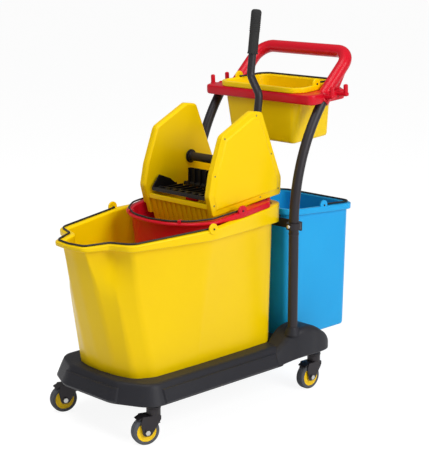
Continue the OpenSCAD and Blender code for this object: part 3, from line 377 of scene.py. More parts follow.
@dataclass(frozen=True)
class Outline:
    """A closed outline of rounded corners [x, y, radius] in millimetres, anticlockwise."""

    corners: tuple[Corner, ...]

    @classmethod
    def mirrored(cls, *half: Corner) -> "Outline":
        """Makes an outline from its corners with y of 0 or more, front to rear."""
        return cls(half + tuple((x, -y, r) for x, y, r in reversed(half) if y > 0))

    @classmethod
    def tapered(cls, rear: Plan, front: Plan, radius: float) -> "Outline":
        """Makes a four-cornered outline from the x and the half width of its rear and front."""
        (rx, rh), (fx, fh) = rear, front
        return cls(((fx, -fh, radius), (fx, fh, radius), (rx, rh, radius), (rx, -rh, radius)))

    def _beside(self, i: int) -> tuple[Vector, Vector, Vector]:
        """Gives a corner's point and the directions to the corners before and after it."""
        here, before, after = (Vector(self.corners[k % len(self.corners)][:2]) for k in (i, i - 1, i + 1))
        return here, (before - here).normalized(), (after - here).normalized()

    def inset(self, depth: float) -> "Outline":
        """Moves the outline inwards.

        Args:
            depth: How far, or how far outwards where it is negative.

        Returns:
            The moved outline.
        """
        moved = []
        for i, (_, _, radius) in enumerate(self.corners):
            here, back, ahead = self._beside(i)
            inward = Vector((back.y, -back.x))
            halfway = (inward + Vector((-ahead.y, ahead.x))).normalized()
            turn = math.copysign(1.0, ahead.cross(back))
            point = here + halfway * (depth / halfway.dot(inward))
            moved.append((point.x, point.y, max(radius - depth * turn, LEAST_RADIUS)))
        return Outline(tuple(moved))

    def steps(self, spacing: float) -> list[int]:
        """Gives how many steps the side after each corner takes at about a spacing."""
        points = [Vector(c[:2]) for c in self.corners]
        return [max(1, round((b - a).length / spacing)) for a, b in zip(points, points[1:] + points[:1])]

    def points(self, steps: Sequence[int]) -> list[Plan]:
        """Gives points round the outline.

        Args:
            steps: Steps along the side that follows each corner.

        Returns:
            The points, in millimetres.
        """
        arcs = [arc_points(*self._beside(i), corner[2], ARC_STEPS) for i, corner in enumerate(self.corners)]
        found: list[Plan] = []
        for bend, after, count in zip(arcs, arcs[1:] + arcs[:1], steps):
            found.extend((p.x, p.y) for p in bend)
            found.extend(tuple(bend[-1].lerp(after[0], k / count)) for k in range(1, count))
        return found

    def ring(self, depth: float, height: Height, steps: Sequence[int]) -> Ring:
        """Gives a ring of points in the frame.

        Args:
            depth: How far inside the outline it runs.
            height: Its height, or the height at each x.
            steps: Steps along the side that follows each corner.

        Returns:
            The ring, in metres.
        """
        level = height if callable(height) else lambda x: height
        return [at(x, y, level(x)) for x, y in self.inset(depth).points(steps)]


def between(first: Ring, last: Ring, count: int) -> list[Ring]:
    """Gives evenly spaced rings between two rings, without the two."""
    return [[a.lerp(b, k / (count + 1)) for a, b in zip(first, last)] for k in range(1, count + 1)]


def swelled(first: Ring, last: Ring, full: Ring, count: int, share: float) -> list[Ring]:
    """Gives evenly spaced rings between two rings, led by a fuller ring until near the last one.

    Args:
        first: The ring that the list starts after.
        last: The ring that the list ends before.
        full: The fuller ring in the last one's place.
        count: How many rings to give.
        share: The share of the way from which the rings turn to the last one.

    Returns:
        The rings.
    """
    found = []
    for plain, swell in zip(between(first, last, count), between(first, full, count)):
        way = max(0.0, ((len(found) + 1) / (count + 1) - share) / (1 - share))
        turn = way * way * (3 - 2 * way)
        found.append([b.lerp(a, turn) for a, b in zip(plain, swell)])
    return found


def smooth_rows(rows: Sequence[Sequence[float]], count: int) -> list[list[float]]:
    """Puts rows between rows of numbers, on smooth curves.

    Args:
        rows: The rows that the curves pass through.
        count: Steps from one row to the next.

    Returns:
        All the rows.
    """

    def curve(a: float, b: float, c: float, d: float, t: float) -> float:
        """Gives the value between b and c on the curve through four values."""
        bend = (2 * a - 5 * b + 4 * c - d) * t * t
        return 0.5 * (2 * b + (c - a) * t + bend + (3 * b - a - 3 * c + d) * t ** 3)

    found = []
    last = len(rows) - 1
    for i in range(last):
        four = (rows[max(i - 1, 0)], rows[i], rows[i + 1], rows[min(i + 2, last)])
        found.extend([curve(*values, k / count) for values in zip(*four)] for k in range(count))
    found.append(list(rows[-1]))
    return found


# Meshes and pieces


def sharp_edges(faces: Iterable[bmesh.types.BMFace], angle: float = SHARP_ANGLE) -> Loop:
    """Gives the edges of some faces that fold by more than an angle in degrees."""
    edges = {e for f in faces for e in f.edges}
    return [e for e in edges if len(e.link_faces) == 2 and e.calc_face_angle(0.0) > math.radians(angle)]


class Form:
    """A mesh under construction, and the ways of shaping it."""

    def __init__(self) -> None:
        """Starts without a vertex."""
        self.bm = bmesh.new()

    def loft(self, rings: Sequence[Ring], caps: tuple[bool, bool] = (True, True)) -> list[Loop]:
        """Extrudes a loop of edges from ring to ring.

        Args:
            rings: Rings of equal length.
            caps: Whether the first and the last ring get a face.

        Returns:
            The edges of each ring.
        """
        bm = self.bm
        count = len(rings[0])
        verts = [bm.verts.new(p) for p in rings[0]]
        loops = [[bm.edges.new((verts[i], verts[(i + 1) % count])) for i in range(count)]]
        if caps[0]:
            bm.faces.new(verts)
        for ring in rings[1:]:
            grown = bmesh.ops.extrude_edge_only(bm, edges=loops[-1])["geom"]
            fresh = {g for g in grown if isinstance(g, bmesh.types.BMVert)}
            above = []
            for old, point in zip(verts, ring):
                new = next(e.other_vert(old) for e in old.link_edges if e.other_vert(old) in fresh)
                new.co = point
                above.append(new)
            verts = above
            loops.append([bm.edges.get((verts[i], verts[(i + 1) % count])) for i in range(count)])
        if caps[1]:
            bm.faces.new(verts)
        return loops

    def sweep(self, path: Ring, radius: float, sides: int) -> list[Loop]:
        """Sweeps a circle along a path.

        Args:
            path: The points of the centre line, in metres.
            radius: The tube's radius in millimetres.
            sides: Points of the circle.

        Returns:
            The edges of each ring.
        """
        rings = []
        side: Optional[Vector] = None
        turns = [2 * math.pi * k / sides for k in range(sides)]
        for i, point in enumerate(path):
            ahead = (path[min(i + 1, len(path) - 1)] - path[max(i - 1, 0)]).normalized()
            side = ahead.orthogonal() if side is None else side - ahead * side.dot(ahead)
            side.normalize()
            up = ahead.cross(side)
            rings.append([point + (side * math.cos(t) + up * math.sin(t)) * (radius * MM) for t in turns])
        return self.loft(rings)

    def lathe(self, profile: Profile, centre: Vector, axis: Vector, steps: int, closed: bool = False,
              start: Optional[Vector] = None) -> None:
        """Spins a profile round an axis.

        Args:
            profile: Points of radius and height along the axis, in millimetres.
            centre: The point of the axis at height 0.
            axis: The direction of the axis.
            steps: Steps of the full turn.
            closed: Whether the profile is a closed loop.
            start: Where the spin starts, square to the axis.
        """
        bm = self.bm
        axis = axis.normalized()
        side = (axis.orthogonal() if start is None else start).normalized()
        verts = [bm.verts.new(centre + axis * (h * MM) + side * (r * MM)) for r, h in profile]
        pairs = list(zip(verts, verts[1:]))
        if closed:
            pairs.append((verts[-1], verts[0]))
        edges = [bm.edges.new(p) for p in pairs]
        bmesh.ops.spin(bm, geom=verts + edges, cent=centre, axis=axis, angle=2 * math.pi, steps=steps,
                       use_merge=True, use_duplicate=False)
        poles = [v for v in bm.verts if (v.co - centre).cross(axis).length < TINY]
        bmesh.ops.remove_doubles(bm, verts=poles, dist=TINY)

    def slab(self, outline: Ring, offset: Vector) -> list[bmesh.types.BMFace]:
        """Extrudes a flat outline.

        Args:
            outline: The outline's points.
            offset: How far and which way it is extruded.

        Returns:
            The slab's faces.
        """
        before = set(self.bm.faces)
        face = self.bm.faces.new([self.bm.verts.new(p) for p in outline])
        grown = bmesh.ops.extrude_face_region(self.bm, geom=[face])["geom"]
        verts = [g for g in grown if isinstance(g, bmesh.types.BMVert)]
        bmesh.ops.translate(self.bm, verts=verts, vec=offset)
        return [f for f in self.bm.faces if f not in before]

    def bevel(self, edges: Iterable[bmesh.types.BMEdge], width: float, segments: int = 3) -> None:
        """Rounds edges.

        Args:
            edges: The edges, of which those that are gone are passed over.
            width: The radius in millimetres.
            segments: Steps of the rounding.
        """
        live = [e for e in edges if e.is_valid]
        bmesh.ops.bevel(self.bm, geom=live, offset=width * MM, offset_type="OFFSET", segments=segments,
                        profile=0.5, affect="EDGES", clamp_overlap=True, material=-1)

    def block(self, low: Vector, high: Vector, width: float, turn: Optional[Matrix] = None) -> None:
        """Adds a box with round edges.

        Args:
            low: Its lowest corner.
            high: Its highest corner.
            width: Radius of its edges, in millimetres.
            turn: A matrix that moves it afterwards.
        """
        size = high - low
        place = Matrix.Translation((low + high) / 2) @ Matrix.Diagonal((size.x, size.y, size.z, 1.0))
        verts = bmesh.ops.create_cube(self.bm, size=1.0, matrix=(turn or Matrix()) @ place)["verts"]
        faces = {f for v in verts for f in v.link_faces}
        self.bevel(sharp_edges(faces), width)

    def move(self, matrix: Matrix) -> None:
        """Moves all that is there by a matrix."""
        bmesh.ops.transform(self.bm, matrix=matrix, verts=self.bm.verts[:])

    def piece(self, name: str, finish: Finish, body: str, node: str, fold: float = 38.0) -> None:
        """Makes an object of the mesh, dresses it and puts it on its body.

        Args:
            name: The piece's name.
            finish: Its finish.
            body: The body that it rides on.
            node: The solid that it stands for.
            fold: The angle in degrees past which an edge stays sharp.
        """
        bmesh.ops.recalc_face_normals(self.bm, faces=self.bm.faces[:])
        mesh = bpy.data.meshes.new(name)
        self.bm.to_mesh(mesh)
        self.bm.free()
        mesh.shade_smooth()
        mesh.set_sharp_from_angle(angle=math.radians(fold))
        mesh.materials.append(finish.material())
        made = bpy.data.objects.new(name, mesh)
        bpy.context.scene.collection.objects.link(made)
        weights = made.modifiers.new("even_normals", "WEIGHTED_NORMAL")
        weights.keep_sharp = True
        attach(made, body)
        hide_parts(node)
        LOG.info("%s on %s, %d faces", name, body, len(mesh.polygons))


def rounded(name: str, finish: Finish, body: str, node: str, width: float, segments: int = 2) -> None:
    """Makes a piece of a copied solid with its edges rounded.

    Args:
        name: The piece's name.
        finish: Its finish.
        body: The body that it rides on.
        node: The solid.
        width: Radius of the edges, in millimetres.
        segments: Steps of the rounding.
    """
    form = Form()
    bm = form.bm
    bm.from_mesh(FRAME["nodes"][node].data)
    bmesh.ops.remove_doubles(bm, verts=bm.verts[:], dist=WELD)
    bmesh.ops.dissolve_limit(bm, angle_limit=math.radians(FLAT_ANGLE), verts=bm.verts[:], edges=bm.edges[:])
    form.bevel(sharp_edges(bm.faces), width, segments)
    form.piece(name, finish, body, node)


def dress(finish: Finish, *nodes: str) -> None:
    """Gives solids of the frame a finish as they are.

    Args:
        finish: The finish.
        nodes: The solids.
    """
    for node in nodes:
        mesh = FRAME["nodes"][node].data
        mesh.materials.clear()
        mesh.materials.append(finish.material())
        LOG.info("%s keeps its solid", node)


# Buckets and their wires


@dataclass
class Ear:
    """A round ear on a rim, for the end of a wire."""

    radius: float = 15.0
    thickness: float = 6.0
    hole: float = 2.6
    edge: float = 1.6

    def build(self, form: Form, centre: Vector) -> None:
        """Adds the ear.

        Args:
            form: The form that takes it.
            centre: The middle of its hole and of its thickness.
        """
        half, r, edge = self.thickness / 2, self.radius, self.edge
        outer = [(r, half - edge), (r - 0.3 * edge, half - 0.3 * edge), (r - edge, half), (self.hole, half)]
        form.lathe([(d, -h) for d, h in reversed(outer)] + outer, centre, LEFT, steps=40, closed=True)


EAR = Ear()
SHELL_FOLD = 45.0


def vessel(rings: Sequence[Ring], x: float, y: float, z: float) -> Form:
    """Lofts a bucket's shell and puts an ear on each side.

    Args:
        rings: The shell's rings, from its underside to its inner floor.
        x: Where the ears' holes are.
        y: The ears' outer faces, from the middle.
        z: The height of the holes.

    Returns:
        The shell.
    """
    form = Form()
    form.loft(rings)
    for side, _ in SIDES:
        EAR.build(form, at(x, side * (y - EAR.thickness / 2), z))
    return form


@dataclass
class Bail:
    """A wire handle that runs from ear to ear in one plane, lying on a rim."""

    name: str
    ear: Plan
    route: Sequence[Corner]
    height: Callable[[float], float]
    turned: Matrix = field(default_factory=Matrix)
    wire: float = 2.5
    past: float = 3.0
    turn: float = 7.0
    knuckle: float = 5.0
    tip: float = 0.8
    sides: int = 12

    def build(self) -> None:
        """Sweeps the wire."""
        x, y = self.ear
        inside = y - EAR.thickness - self.turn
        line = Outline.mirrored((x, y + self.past, 0.0), (x, inside, self.knuckle), *self.route)
        path = bent([(at(cx, cy, self.height(cx)), r) for cx, cy, r in line.corners])
        form = Form()
        loops = form.sweep(path, self.wire, self.sides)
        form.bevel(loops[0] + loops[-1], self.tip, segments=2)
        form.move(self.turned)
        body = self.name + "_bail"
        form.piece(self.name + "_wire", WIRE, body, body)


@dataclass
class MainBucket:
    """The large bucket in the deck's well, with a pouring spout in front."""

    front: float = 433.0
    rear: float = 230.0
    half_width: float = 208.0
    ear_x: float = MAIN_EAR_X
    ear_inset: float = 1.0
    rim: float = 547.4
    foot: float = 150.4
    tilt: float = math.tan(math.radians(3.5))
    spout_half: float = 60.0
    spout_depth: float = 71.0
    hollow_half: float = 88.0
    shoulder: float = 93.0
    lip_out: float = 21.0
    wall: float = 4.0
    band_ear: float = 28.0
    band_front: float = 12.0
    band_rear: float = 55.0
    base_front: float = 325.0
    base_rear: float = 200.0
    base_half: float = 143.0
    edge: float = 10.0
    wall_rings: int = 15
    wall_full: float = 0.6
    wire_inset: float = 9.0

    def lip(self) -> Outline:
        """Gives the lip's outer edge."""
        tip, half = self.front, self.half_width
        return Outline.mirrored((tip, 0, 120), (tip - 8, self.spout_half, 26),
                                (tip - self.spout_depth, self.hollow_half, 14),
                                (tip - self.shoulder, half - 56, 42), (self.ear_x, half, 150),
                                (-self.rear, half - 60, 45))

    def full(self) -> Outline:
        """Gives the lip's outline without the hollows beside the spout, which the wall follows lower down."""
        tip, spout, _, shoulder, *rest = self.lip().corners[:6]
        return Outline.mirrored(tip, (*spout[:2], 60), (self.front - 47, 108, 46), (*shoulder[:2], 56), *rest)

    def base(self) -> Outline:
        """Gives the bottom's outline."""
        front, half = self.base_front, self.base_half
        return Outline.mirrored((front, 0, 150), (front - 4, 58, 120), (front - 19, 114, 45),
                                (front - 66, half - 3, 60), (self.ear_x, half, 150),
                                (-self.base_rear, half - 4, 36))

    def top(self, x: float) -> float:
        """Gives the rim's height, which rises to the rear."""
        return self.rim - self.tilt * (x - self.ear_x)

    def band(self, x: float) -> float:
        """Gives the height of the lip's band, which grows from the spout to the rear."""
        end, last = (-self.rear, self.band_rear) if x < self.ear_x else (self.front, self.band_front)
        return mix(self.band_ear, last, min(1.0, (x - self.ear_x) / (end - self.ear_x)))

    def build(self) -> None:
        """Lofts the shell from the underside over the lip and down to the inner floor."""
        lip, base, full = self.lip(), self.base(), self.full()
        steps = lip.steps(SPACING)
        edge, wall, out = self.edge, self.wall, self.lip_out

        def flat(depth: float, up: float) -> Ring:
            """Gives a level ring inside the bottom's outline."""
            return base.ring(depth, self.foot + up, steps)

        def on_rim(depth: float, drop: float, bands: float = 0.0, outline: Outline = lip) -> Ring:
            """Gives a ring that follows the rim, lowered by a drop and by a share of the band."""
            return outline.ring(depth, lambda x: self.top(x) - drop - bands * self.band(x), steps)

        def wall_between(low: Ring, high: Ring, swell: Ring) -> list[Ring]:
            """Gives the wall's rings, free of the hollows up to near the lip."""
            return swelled(low, high, swell, self.wall_rings, self.wall_full)

        foot, sole = flat(0, edge), flat(wall, edge + wall)
        neck, mouth = on_rim(out, 9, 1), on_rim(out + wall, 7)
        outside = wall_between(foot, neck, on_rim(out, 9, 1, full))
        inside = wall_between(sole, mouth, on_rim(out + wall, 7, 0, full))
        under = [(edge, 0), (0.55 * edge, 0.08 * edge), (0.2 * edge, 0.35 * edge)]
        band = [(out - 1.5, 4), (out - 6, 0.6), (3.5, 0), (1.2, -1.0), (0.5, -3.4)]
        brim = [(0, 3.6), (0.8, 1.2), (3, 0), (out - 3, 0), (out - 0.5, 1.2), (out + wall - 1, 3.6)]
        floor = [(0.3 * edge + wall, 0.4 * edge + wall), (edge + wall, wall)]
        rings = [*(flat(*row) for row in under), foot, *outside, neck, *(on_rim(*row, 1) for row in band),
                 *(on_rim(*row) for row in brim), mouth, *reversed(inside), sole,
                 *(flat(*row) for row in floor)]
        form = vessel(rings, self.ear_x, self.half_width - self.ear_inset, self.rim + WIRE_GAP)
        form.piece("main_shell", YELLOW, "main", "main_bucket", SHELL_FOLD)

    def bail(self) -> None:
        """Lays the wire along the lip, round the spout."""
        tip, spout, hollow, shoulder = self.lip().inset(self.wire_inset).corners[:4]
        route = [(*shoulder[:2], 36), (*hollow[:2], 16), (*spout[:2], 20), (tip[0], 0, 1)]
        ear = (self.ear_x, self.half_width - self.ear_inset)
        Bail("main", ear, route, lambda x: self.top(x) + WIRE_GAP).build()


@dataclass
class InnerBucket:
    """The bucket that hangs by its flange in the rear half of the main bucket."""

    main: MainBucket
    front: float = 158.0
    ear_x: float = -32.0
    ear_inset: float = 28.0
    depth: float = 225.0
    wall: float = 3.5
    thin: float = 8.0
    thin_x: float = 60.0
    thick: float = 16.0
    seat: float = 0.4
    edge: float = 8.0
    wall_rings: int = 5
    wire_inset: float = 8.0
    nub_insets: Plan = (2.6, 13.4)
    nub_low: Corner = (-2.0, -5.0, -2.0)
    nub_high: Corner = (2.0, 5.0, 7.5)
    nub_round: float = 1.2

    def lip(self) -> Outline:
        """Gives the flange's outer edge."""
        front, half, rear = self.front, self.main.half_width, -self.main.rear
        return Outline.mirrored((front, 0, 200), (front - 8, half / 2 - 34, 120), (front - 42, half - 73, 90),
                                (front - 92, half - 38, 60), (self.ear_x, half - 27, 200),
                                (rear + 66, half - 48, 14), (rear + 58, half - 76, 8),
                                (rear + 18, half - 84, 30))

    def mouth(self) -> Outline:
        """Gives the wall's outline under the flange."""
        front, half, rear = self.front, self.main.half_width, -self.main.rear
        return Outline.mirrored((front - 12, 0, 200), (front - 20, half / 2 - 38, 115),
                                (front - 52, half - 82, 80), (front - 98, half - 56, 50),
                                (self.ear_x, half - 54, 200), (rear + 60, half - 79, 20),
                                (rear + 38, half - 86, 12), (rear + 30, half - 100, 12))

    def base(self) -> Outline:
        """Gives the bottom's outline."""
        front, half, rear = self.front, self.main.half_width, -self.main.rear
        return Outline.mirrored((front - 34, 0, 200), (front - 41, half / 2 - 48, 105),
                                (front - 68, half - 102, 70), (front - 108, half - 82, 40),
                                (self.ear_x, half - 78, 200), (rear + 70, half - 96, 20),
                                (rear + 54, half - 102, 12), (rear + 47, half - 114, 12))

    def rise(self, x: float) -> float:
        """Gives the flange's top above the main rim, thin in front and thick behind."""
        share = (self.thin_x - x) / (self.thin_x - self.ear_x)
        return self.seat + mix(self.thin, self.thick, max(0.0, min(1.0, share)))

    def wire_z(self) -> float:
        """Gives the height of the wire at the ears."""
        return self.main.top(self.ear_x) + self.rise(self.ear_x) + WIRE_GAP

    def build(self) -> None:
        """Lofts the shell and its flange."""
        lip, mouth, base = self.lip(), self.mouth(), self.base()
        steps = lip.steps(SPACING)
        edge, wall, seat = self.edge, self.wall, self.seat
        main = self.main

        def flat(depth: float, up: float) -> Ring:
            """Gives a level ring inside the bottom's outline."""
            return base.ring(depth, main.rim - self.depth + up, steps)

        def low(outline: Outline, depth: float, up: float) -> Ring:
            """Gives a ring at a height over the seat on the main rim."""
            return outline.ring(depth, lambda x: main.top(x) + seat + up, steps)

        def high(outline: Outline, depth: float, drop: float) -> Ring:
            """Gives a ring at a drop under the flange's top."""
            return outline.ring(depth, lambda x: main.top(x) + self.rise(x) - drop, steps)

        foot, sole = flat(0, edge), flat(wall, edge + wall)
        neck, throat = low(mouth, 0, 0), high(mouth, wall, 4)
        under = [(edge, 0), (0.3 * edge, 0.3 * edge)]
        hem = [(1.5, 0), (0.4, 0.8), (0, 2.2)]
        brim = [(0, 3.5), (0.9, 1.1), (3.2, 0)]
        inner = [(wall - 3, 0), (wall - 0.8, 1.2)]
        floor = [(0.3 * edge + wall, 0.3 * edge + wall), (edge + wall, wall)]
        rings = [*(flat(*row) for row in under), foot, *between(foot, neck, self.wall_rings), neck,
                 *(low(lip, *row) for row in hem), *(high(lip, *row) for row in brim),
                 *(high(mouth, *row) for row in inner), throat, *between(throat, sole, self.wall_rings), sole,
                 *(flat(*row) for row in floor)]
        form = vessel(rings, self.ear_x, main.half_width - self.ear_inset, self.wire_z())
        self.nubs(form)
        form.piece("inner_shell", RED, "inner", "inner_bucket", SHELL_FOLD)

    def nubs(self, form: Form) -> None:
        """Adds two nubs on each side of the flange, which keep the wire between them.

        Args:
            form: The bucket's shell.
        """
        front, rear = (Vector(c[:2]) for c in self.lip().corners[1:3])
        middle, along = (front + rear) / 2, (rear - front).normalized()
        out = Vector((along.y, -along.x))
        flange = self.main.top(middle.x) + self.rise(middle.x)
        for side, _ in SIDES:
            turn = Matrix.Rotation(side * math.atan2(out.y, out.x), 4, "Z")
            for depth in self.nub_insets:
                foot = middle - out * depth
                place = Matrix.Translation(at(foot.x, side * foot.y, flange)) @ turn
                form.block(Vector(self.nub_low) * MM, Vector(self.nub_high) * MM, self.nub_round, place)

    def bail(self) -> None:
        """Lays the wire round the front of the flange."""
        lie = self.lip().inset(self.wire_inset).corners
        tip_x = lie[0][0]
        slope = self.main.tilt + (self.rise(self.ear_x) - self.rise(tip_x)) / (tip_x - self.ear_x)
        route = [(*lie[3][:2], 52), (*lie[2][:2], 82), (*lie[1][:2], 112), (tip_x, 0, 1)]
        ear = (self.ear_x, self.main.half_width - self.ear_inset)
        Bail("inner", ear, route, lambda x: self.wire_z() - slope * (x - self.ear_x)).build()


@dataclass
class Tub:
    """A plain bucket with a lip, two ears and a wire that lies round its rear rim."""

    name: str
    node: str
    finish: Finish
    lip: Outline
    base: Outline
    bottom: float
    rim: float
    slope: float
    lip_out: float
    band: float
    wall: float
    ear: Plan
    back: Corner
    turned: Matrix = field(default_factory=Matrix)
    edge: float = 8.0
    wall_rings: int = 6

    def top(self, x: float) -> float:
        """Gives the rim's height."""
        return self.rim + self.slope * (x - self.ear[0])

    def build(self) -> None:
        """Lofts the shell over its lip."""
        edge, wall, out, deep = self.edge, self.wall, self.lip_out, self.band
        steps = self.lip.steps(SPACING)

        def flat(depth: float, up: float) -> Ring:
            """Gives a level ring inside the bottom's outline."""
            return self.base.ring(depth, self.bottom + up, steps)

        def on_rim(depth: float, drop: float) -> Ring:
            """Gives a ring that follows the rim, lowered by a drop."""
            return self.lip.ring(depth, lambda x: self.top(x) - drop, steps)

        foot, sole = flat(0, edge), flat(wall, edge + wall)
        neck, throat = on_rim(out, deep + 5), on_rim(out + wall, 5)
        under = [(edge, 0), (0.3 * edge, 0.3 * edge)]
        hem = [(out - 1, deep + 1.4), (out - 3.5, deep), (2.4, deep), (0.8, deep - 0.9), (0.2, deep - 2.6)]
        brim = [(0, 3), (0.7, 1), (2.8, 0), (out - 2.5, 0), (out, 1), (out + wall - 0.6, 2.6)]
        floor = [(0.3 * edge + wall, 0.3 * edge + wall), (edge + wall, wall)]
        rings = [*(flat(*row) for row in under), foot, *between(foot, neck, self.wall_rings), neck,
                 *(on_rim(*row) for row in hem + brim), throat, *between(throat, sole, self.wall_rings), sole,
                 *(flat(*row) for row in floor)]
        form = vessel(rings, *self.ear, self.rim + WIRE_GAP)
        form.move(self.turned)
        form.piece(self.name + "_shell", self.finish, self.name, self.node, SHELL_FOLD)

    def bail(self) -> None:
        """Lays the wire round the rear."""
        route = [self.back, (self.back[0], 0, 1)]
        Bail(self.name, self.ear, route, lambda x: self.top(x) + WIRE_GAP, self.turned).build()


def rear_bucket() -> Tub:
    """Gives the tall bucket behind the posts."""
    lip = Outline.tapered((-547, 152), (-254, 152), 42)
    return Tub("rear", "rear_bucket", BLUE, lip, lip.inset(18), bottom=145.909, rim=530.909,
               slope=math.tan(math.radians(3.4)), lip_out=12, band=18, wall=3.5, ear=(-400.5, 151),
               back=(-540, 138, 32))


@dataclass
class HandleTray:
    """The red moulding on top of the posts: tray, sockets, hook pegs and push handle."""

    front: float = -266.083
    top: float = 868.216
    height: float = 28.0
    half_width: float = 214.0
    tilt: float = 3.0
    post: Plan = (-334.083, 856.216)
    arm_back: float = 20.0
    arm_long: float = 62.0
    bar: Plan = (-477.083, 974.216)
    handle_r: float = 18.5
    handle_side: float = 176.0
    handle_bend: float = 50.0
    bin_rear: float = -458.083
    bin_front: float = -268.083
    bin_half: float = 166.0
    bin_narrow: float = 18.0
    bin_lip: float = 11.0
    bin_deep: float = 163.0
    bin_rise: float = 15.4
    ledge: float = 8.0
    rail: float = 12.0
    peg_r: float = 6.5
    peg_h: float = 20.0
    peg_out: float = 21.0
    peg_sunk: float = 8.0
    peg_arm_half: float = 7.0
    peg_arm_drops: Plan = (14.0, 3.0)
    peg_arm: Plan = (-12.0, 28.0)
    peg_places: Plan = (8.0, -52.0)
    web_half: float = 11.0
    web_round: float = 6.0
    socket_r: float = 19.0
    form: Form = field(default_factory=Form)

    def lean(self) -> Matrix:
        """Gives the turn about the tray's upper front edge that the tray and its bin share."""
        edge = Matrix.Translation(at(self.front, 0, self.top))
        return edge @ Matrix.Rotation(math.radians(self.tilt), 4, "Y") @ edge.inverted()

    def arm(self) -> Plan:
        """Gives the x and z of the feet of the push handle's arms."""
        return self.post[0] - self.arm_back, self.top - self.height / 2

    def top_bin(self) -> Tub:
        """Gives the bin that hangs in the tray.

        Returns:
            The bin.
        """
        out, half, rear, front = self.bin_lip, self.bin_half, self.bin_rear, self.bin_front
        behind = half - self.bin_narrow
        rim = self.top + self.bin_rise
        ear_x = (rear + front) / 2 + 8
        ear_y = half - self.bin_narrow * (front - ear_x) / (front - rear) - 2
        return Tub("bin", "top_bin", YELLOW, Outline.tapered((rear, behind), (front, half), 40),
                   Outline.tapered((rear + out, behind - out - 20), (front - out - 4, half - out - 28), 16),
                   bottom=rim - self.bin_deep, rim=rim, slope=0.0, lip_out=out, band=15, wall=3,
                   ear=(ear_x, ear_y), back=(rear + 6, behind - 8, 34), turned=self.lean())

    def ring(self) -> None:
        """Adds the tray's ring, round on all its edges."""
        behind, ledge, rail = self.bin_half - self.bin_narrow, self.ledge, self.rail
        outer = Outline.mirrored((self.front, self.half_width, 20),
                                 (self.arm()[0] - self.arm_long, self.half_width - 8, 20),
                                 (self.bin_rear - rail, behind - rail, 30))
        inner = Outline.tapered((self.bin_rear + ledge, behind - ledge),
                                (self.bin_front - ledge, self.bin_half - ledge), 34)
        low, top = self.top - self.height, self.top
        rim_rows = [(6, low), (1.8, low + 1.8), (0, low + 6), (0, top - 6), (1.8, top - 1.8), (6, top)]
        hole_rows = [(0, low), (0, top - 3), (-0.9, top - 0.9), (-3, top)]
        skins = []
        for outline, rows in ((outer, rim_rows), (inner, hole_rows)):
            steps = outline.steps(SPACING)
            skins.append(self.form.loft([outline.ring(*row, steps) for row in rows], (False, False)))
        for end in (0, -1):
            bmesh.ops.triangle_fill(self.form.bm, use_beauty=True, use_dissolve=False,
                                    edges=skins[0][end] + skins[1][end])
        self.form.move(self.lean())

    def pegs(self) -> None:
        """Adds the arms and upright pegs at both ends."""
        lean = self.lean()
        r, high = self.peg_r, self.peg_h + self.peg_sunk
        low, up = (self.top - drop for drop in self.peg_arm_drops)
        peg = [(0, 0), (r, 0), (r, high - 4), (0.86 * r, high - 1.6), (0.5 * r, high - 0.3), (0, high)]
        for side, _ in SIDES:
            near, far = sorted(side * (self.half_width + out) for out in self.peg_arm)
            for x in (self.post[0] + ahead for ahead in self.peg_places):
                half = self.peg_arm_half
                self.form.block(at(x - half, near, low), at(x + half, far, up), half / 2, lean)
                foot = lean @ at(x, side * (self.half_width + self.peg_out), self.top - self.peg_sunk)
                self.form.lathe(peg, foot, lean.to_3x3() @ UP, steps=28)

    def sockets(self) -> None:
        """Adds the sockets that take the post tops."""
        bend = math.radians(POST_BEND)
        bore, r = POST_R + FIT, self.socket_r
        socket = [(bore, 0), (bore, -14), (r - 2, -14), (r, -12), (r, 7), (r - 2, 10), (0, 10), (0, 0.2),
                  (bore, 0.2)]
        for side, _ in SIDES:
            self.form.lathe(socket, at(self.post[0], side * POST_Y, self.post[1]),
                            Vector((-math.sin(bend), 0, math.cos(bend))), steps=40)

    def handle(self) -> None:
        """Sweeps the push handle from arm to arm."""
        (foot_x, foot_z), (bar_x, bar_z), side = self.arm(), self.bar, self.handle_side
        corners = [(at(foot_x, side, foot_z), 0.0), (at(bar_x, side, bar_z), self.handle_bend),
                   (at(bar_x, -side, bar_z), self.handle_bend), (at(foot_x, -side, foot_z), 0.0)]
        self.form.sweep(bent(corners, count=14), self.handle_r, sides=28)

    def webs(self) -> None:
        """Adds the web under each arm, from the tray up to the bar."""
        (foot_x, foot_z), (bar_x, bar_z) = self.arm(), self.bar
        shape = [(foot_x - 10, foot_z), (foot_x - self.arm_long, foot_z + 18), (bar_x + 16, bar_z - 30),
                 (bar_x + 34, bar_z - 24)]
        for side, _ in SIDES:
            inner = side * (self.handle_side - self.web_half)
            across = LEFT * (side * 2 * self.web_half * MM)
            faces = self.form.slab([at(x, inner, z) for x, z in shape], across)
            self.form.bevel(sharp_edges(faces), self.web_round, segments=4)

    def build(self) -> None:
        """Makes the whole moulding."""
        self.ring()
        self.pegs()
        self.sockets()
        self.handle()
        self.webs()
        self.form.piece("tray_moulding", RED, "frame", "handle_tray")


# Deck, posts and casters


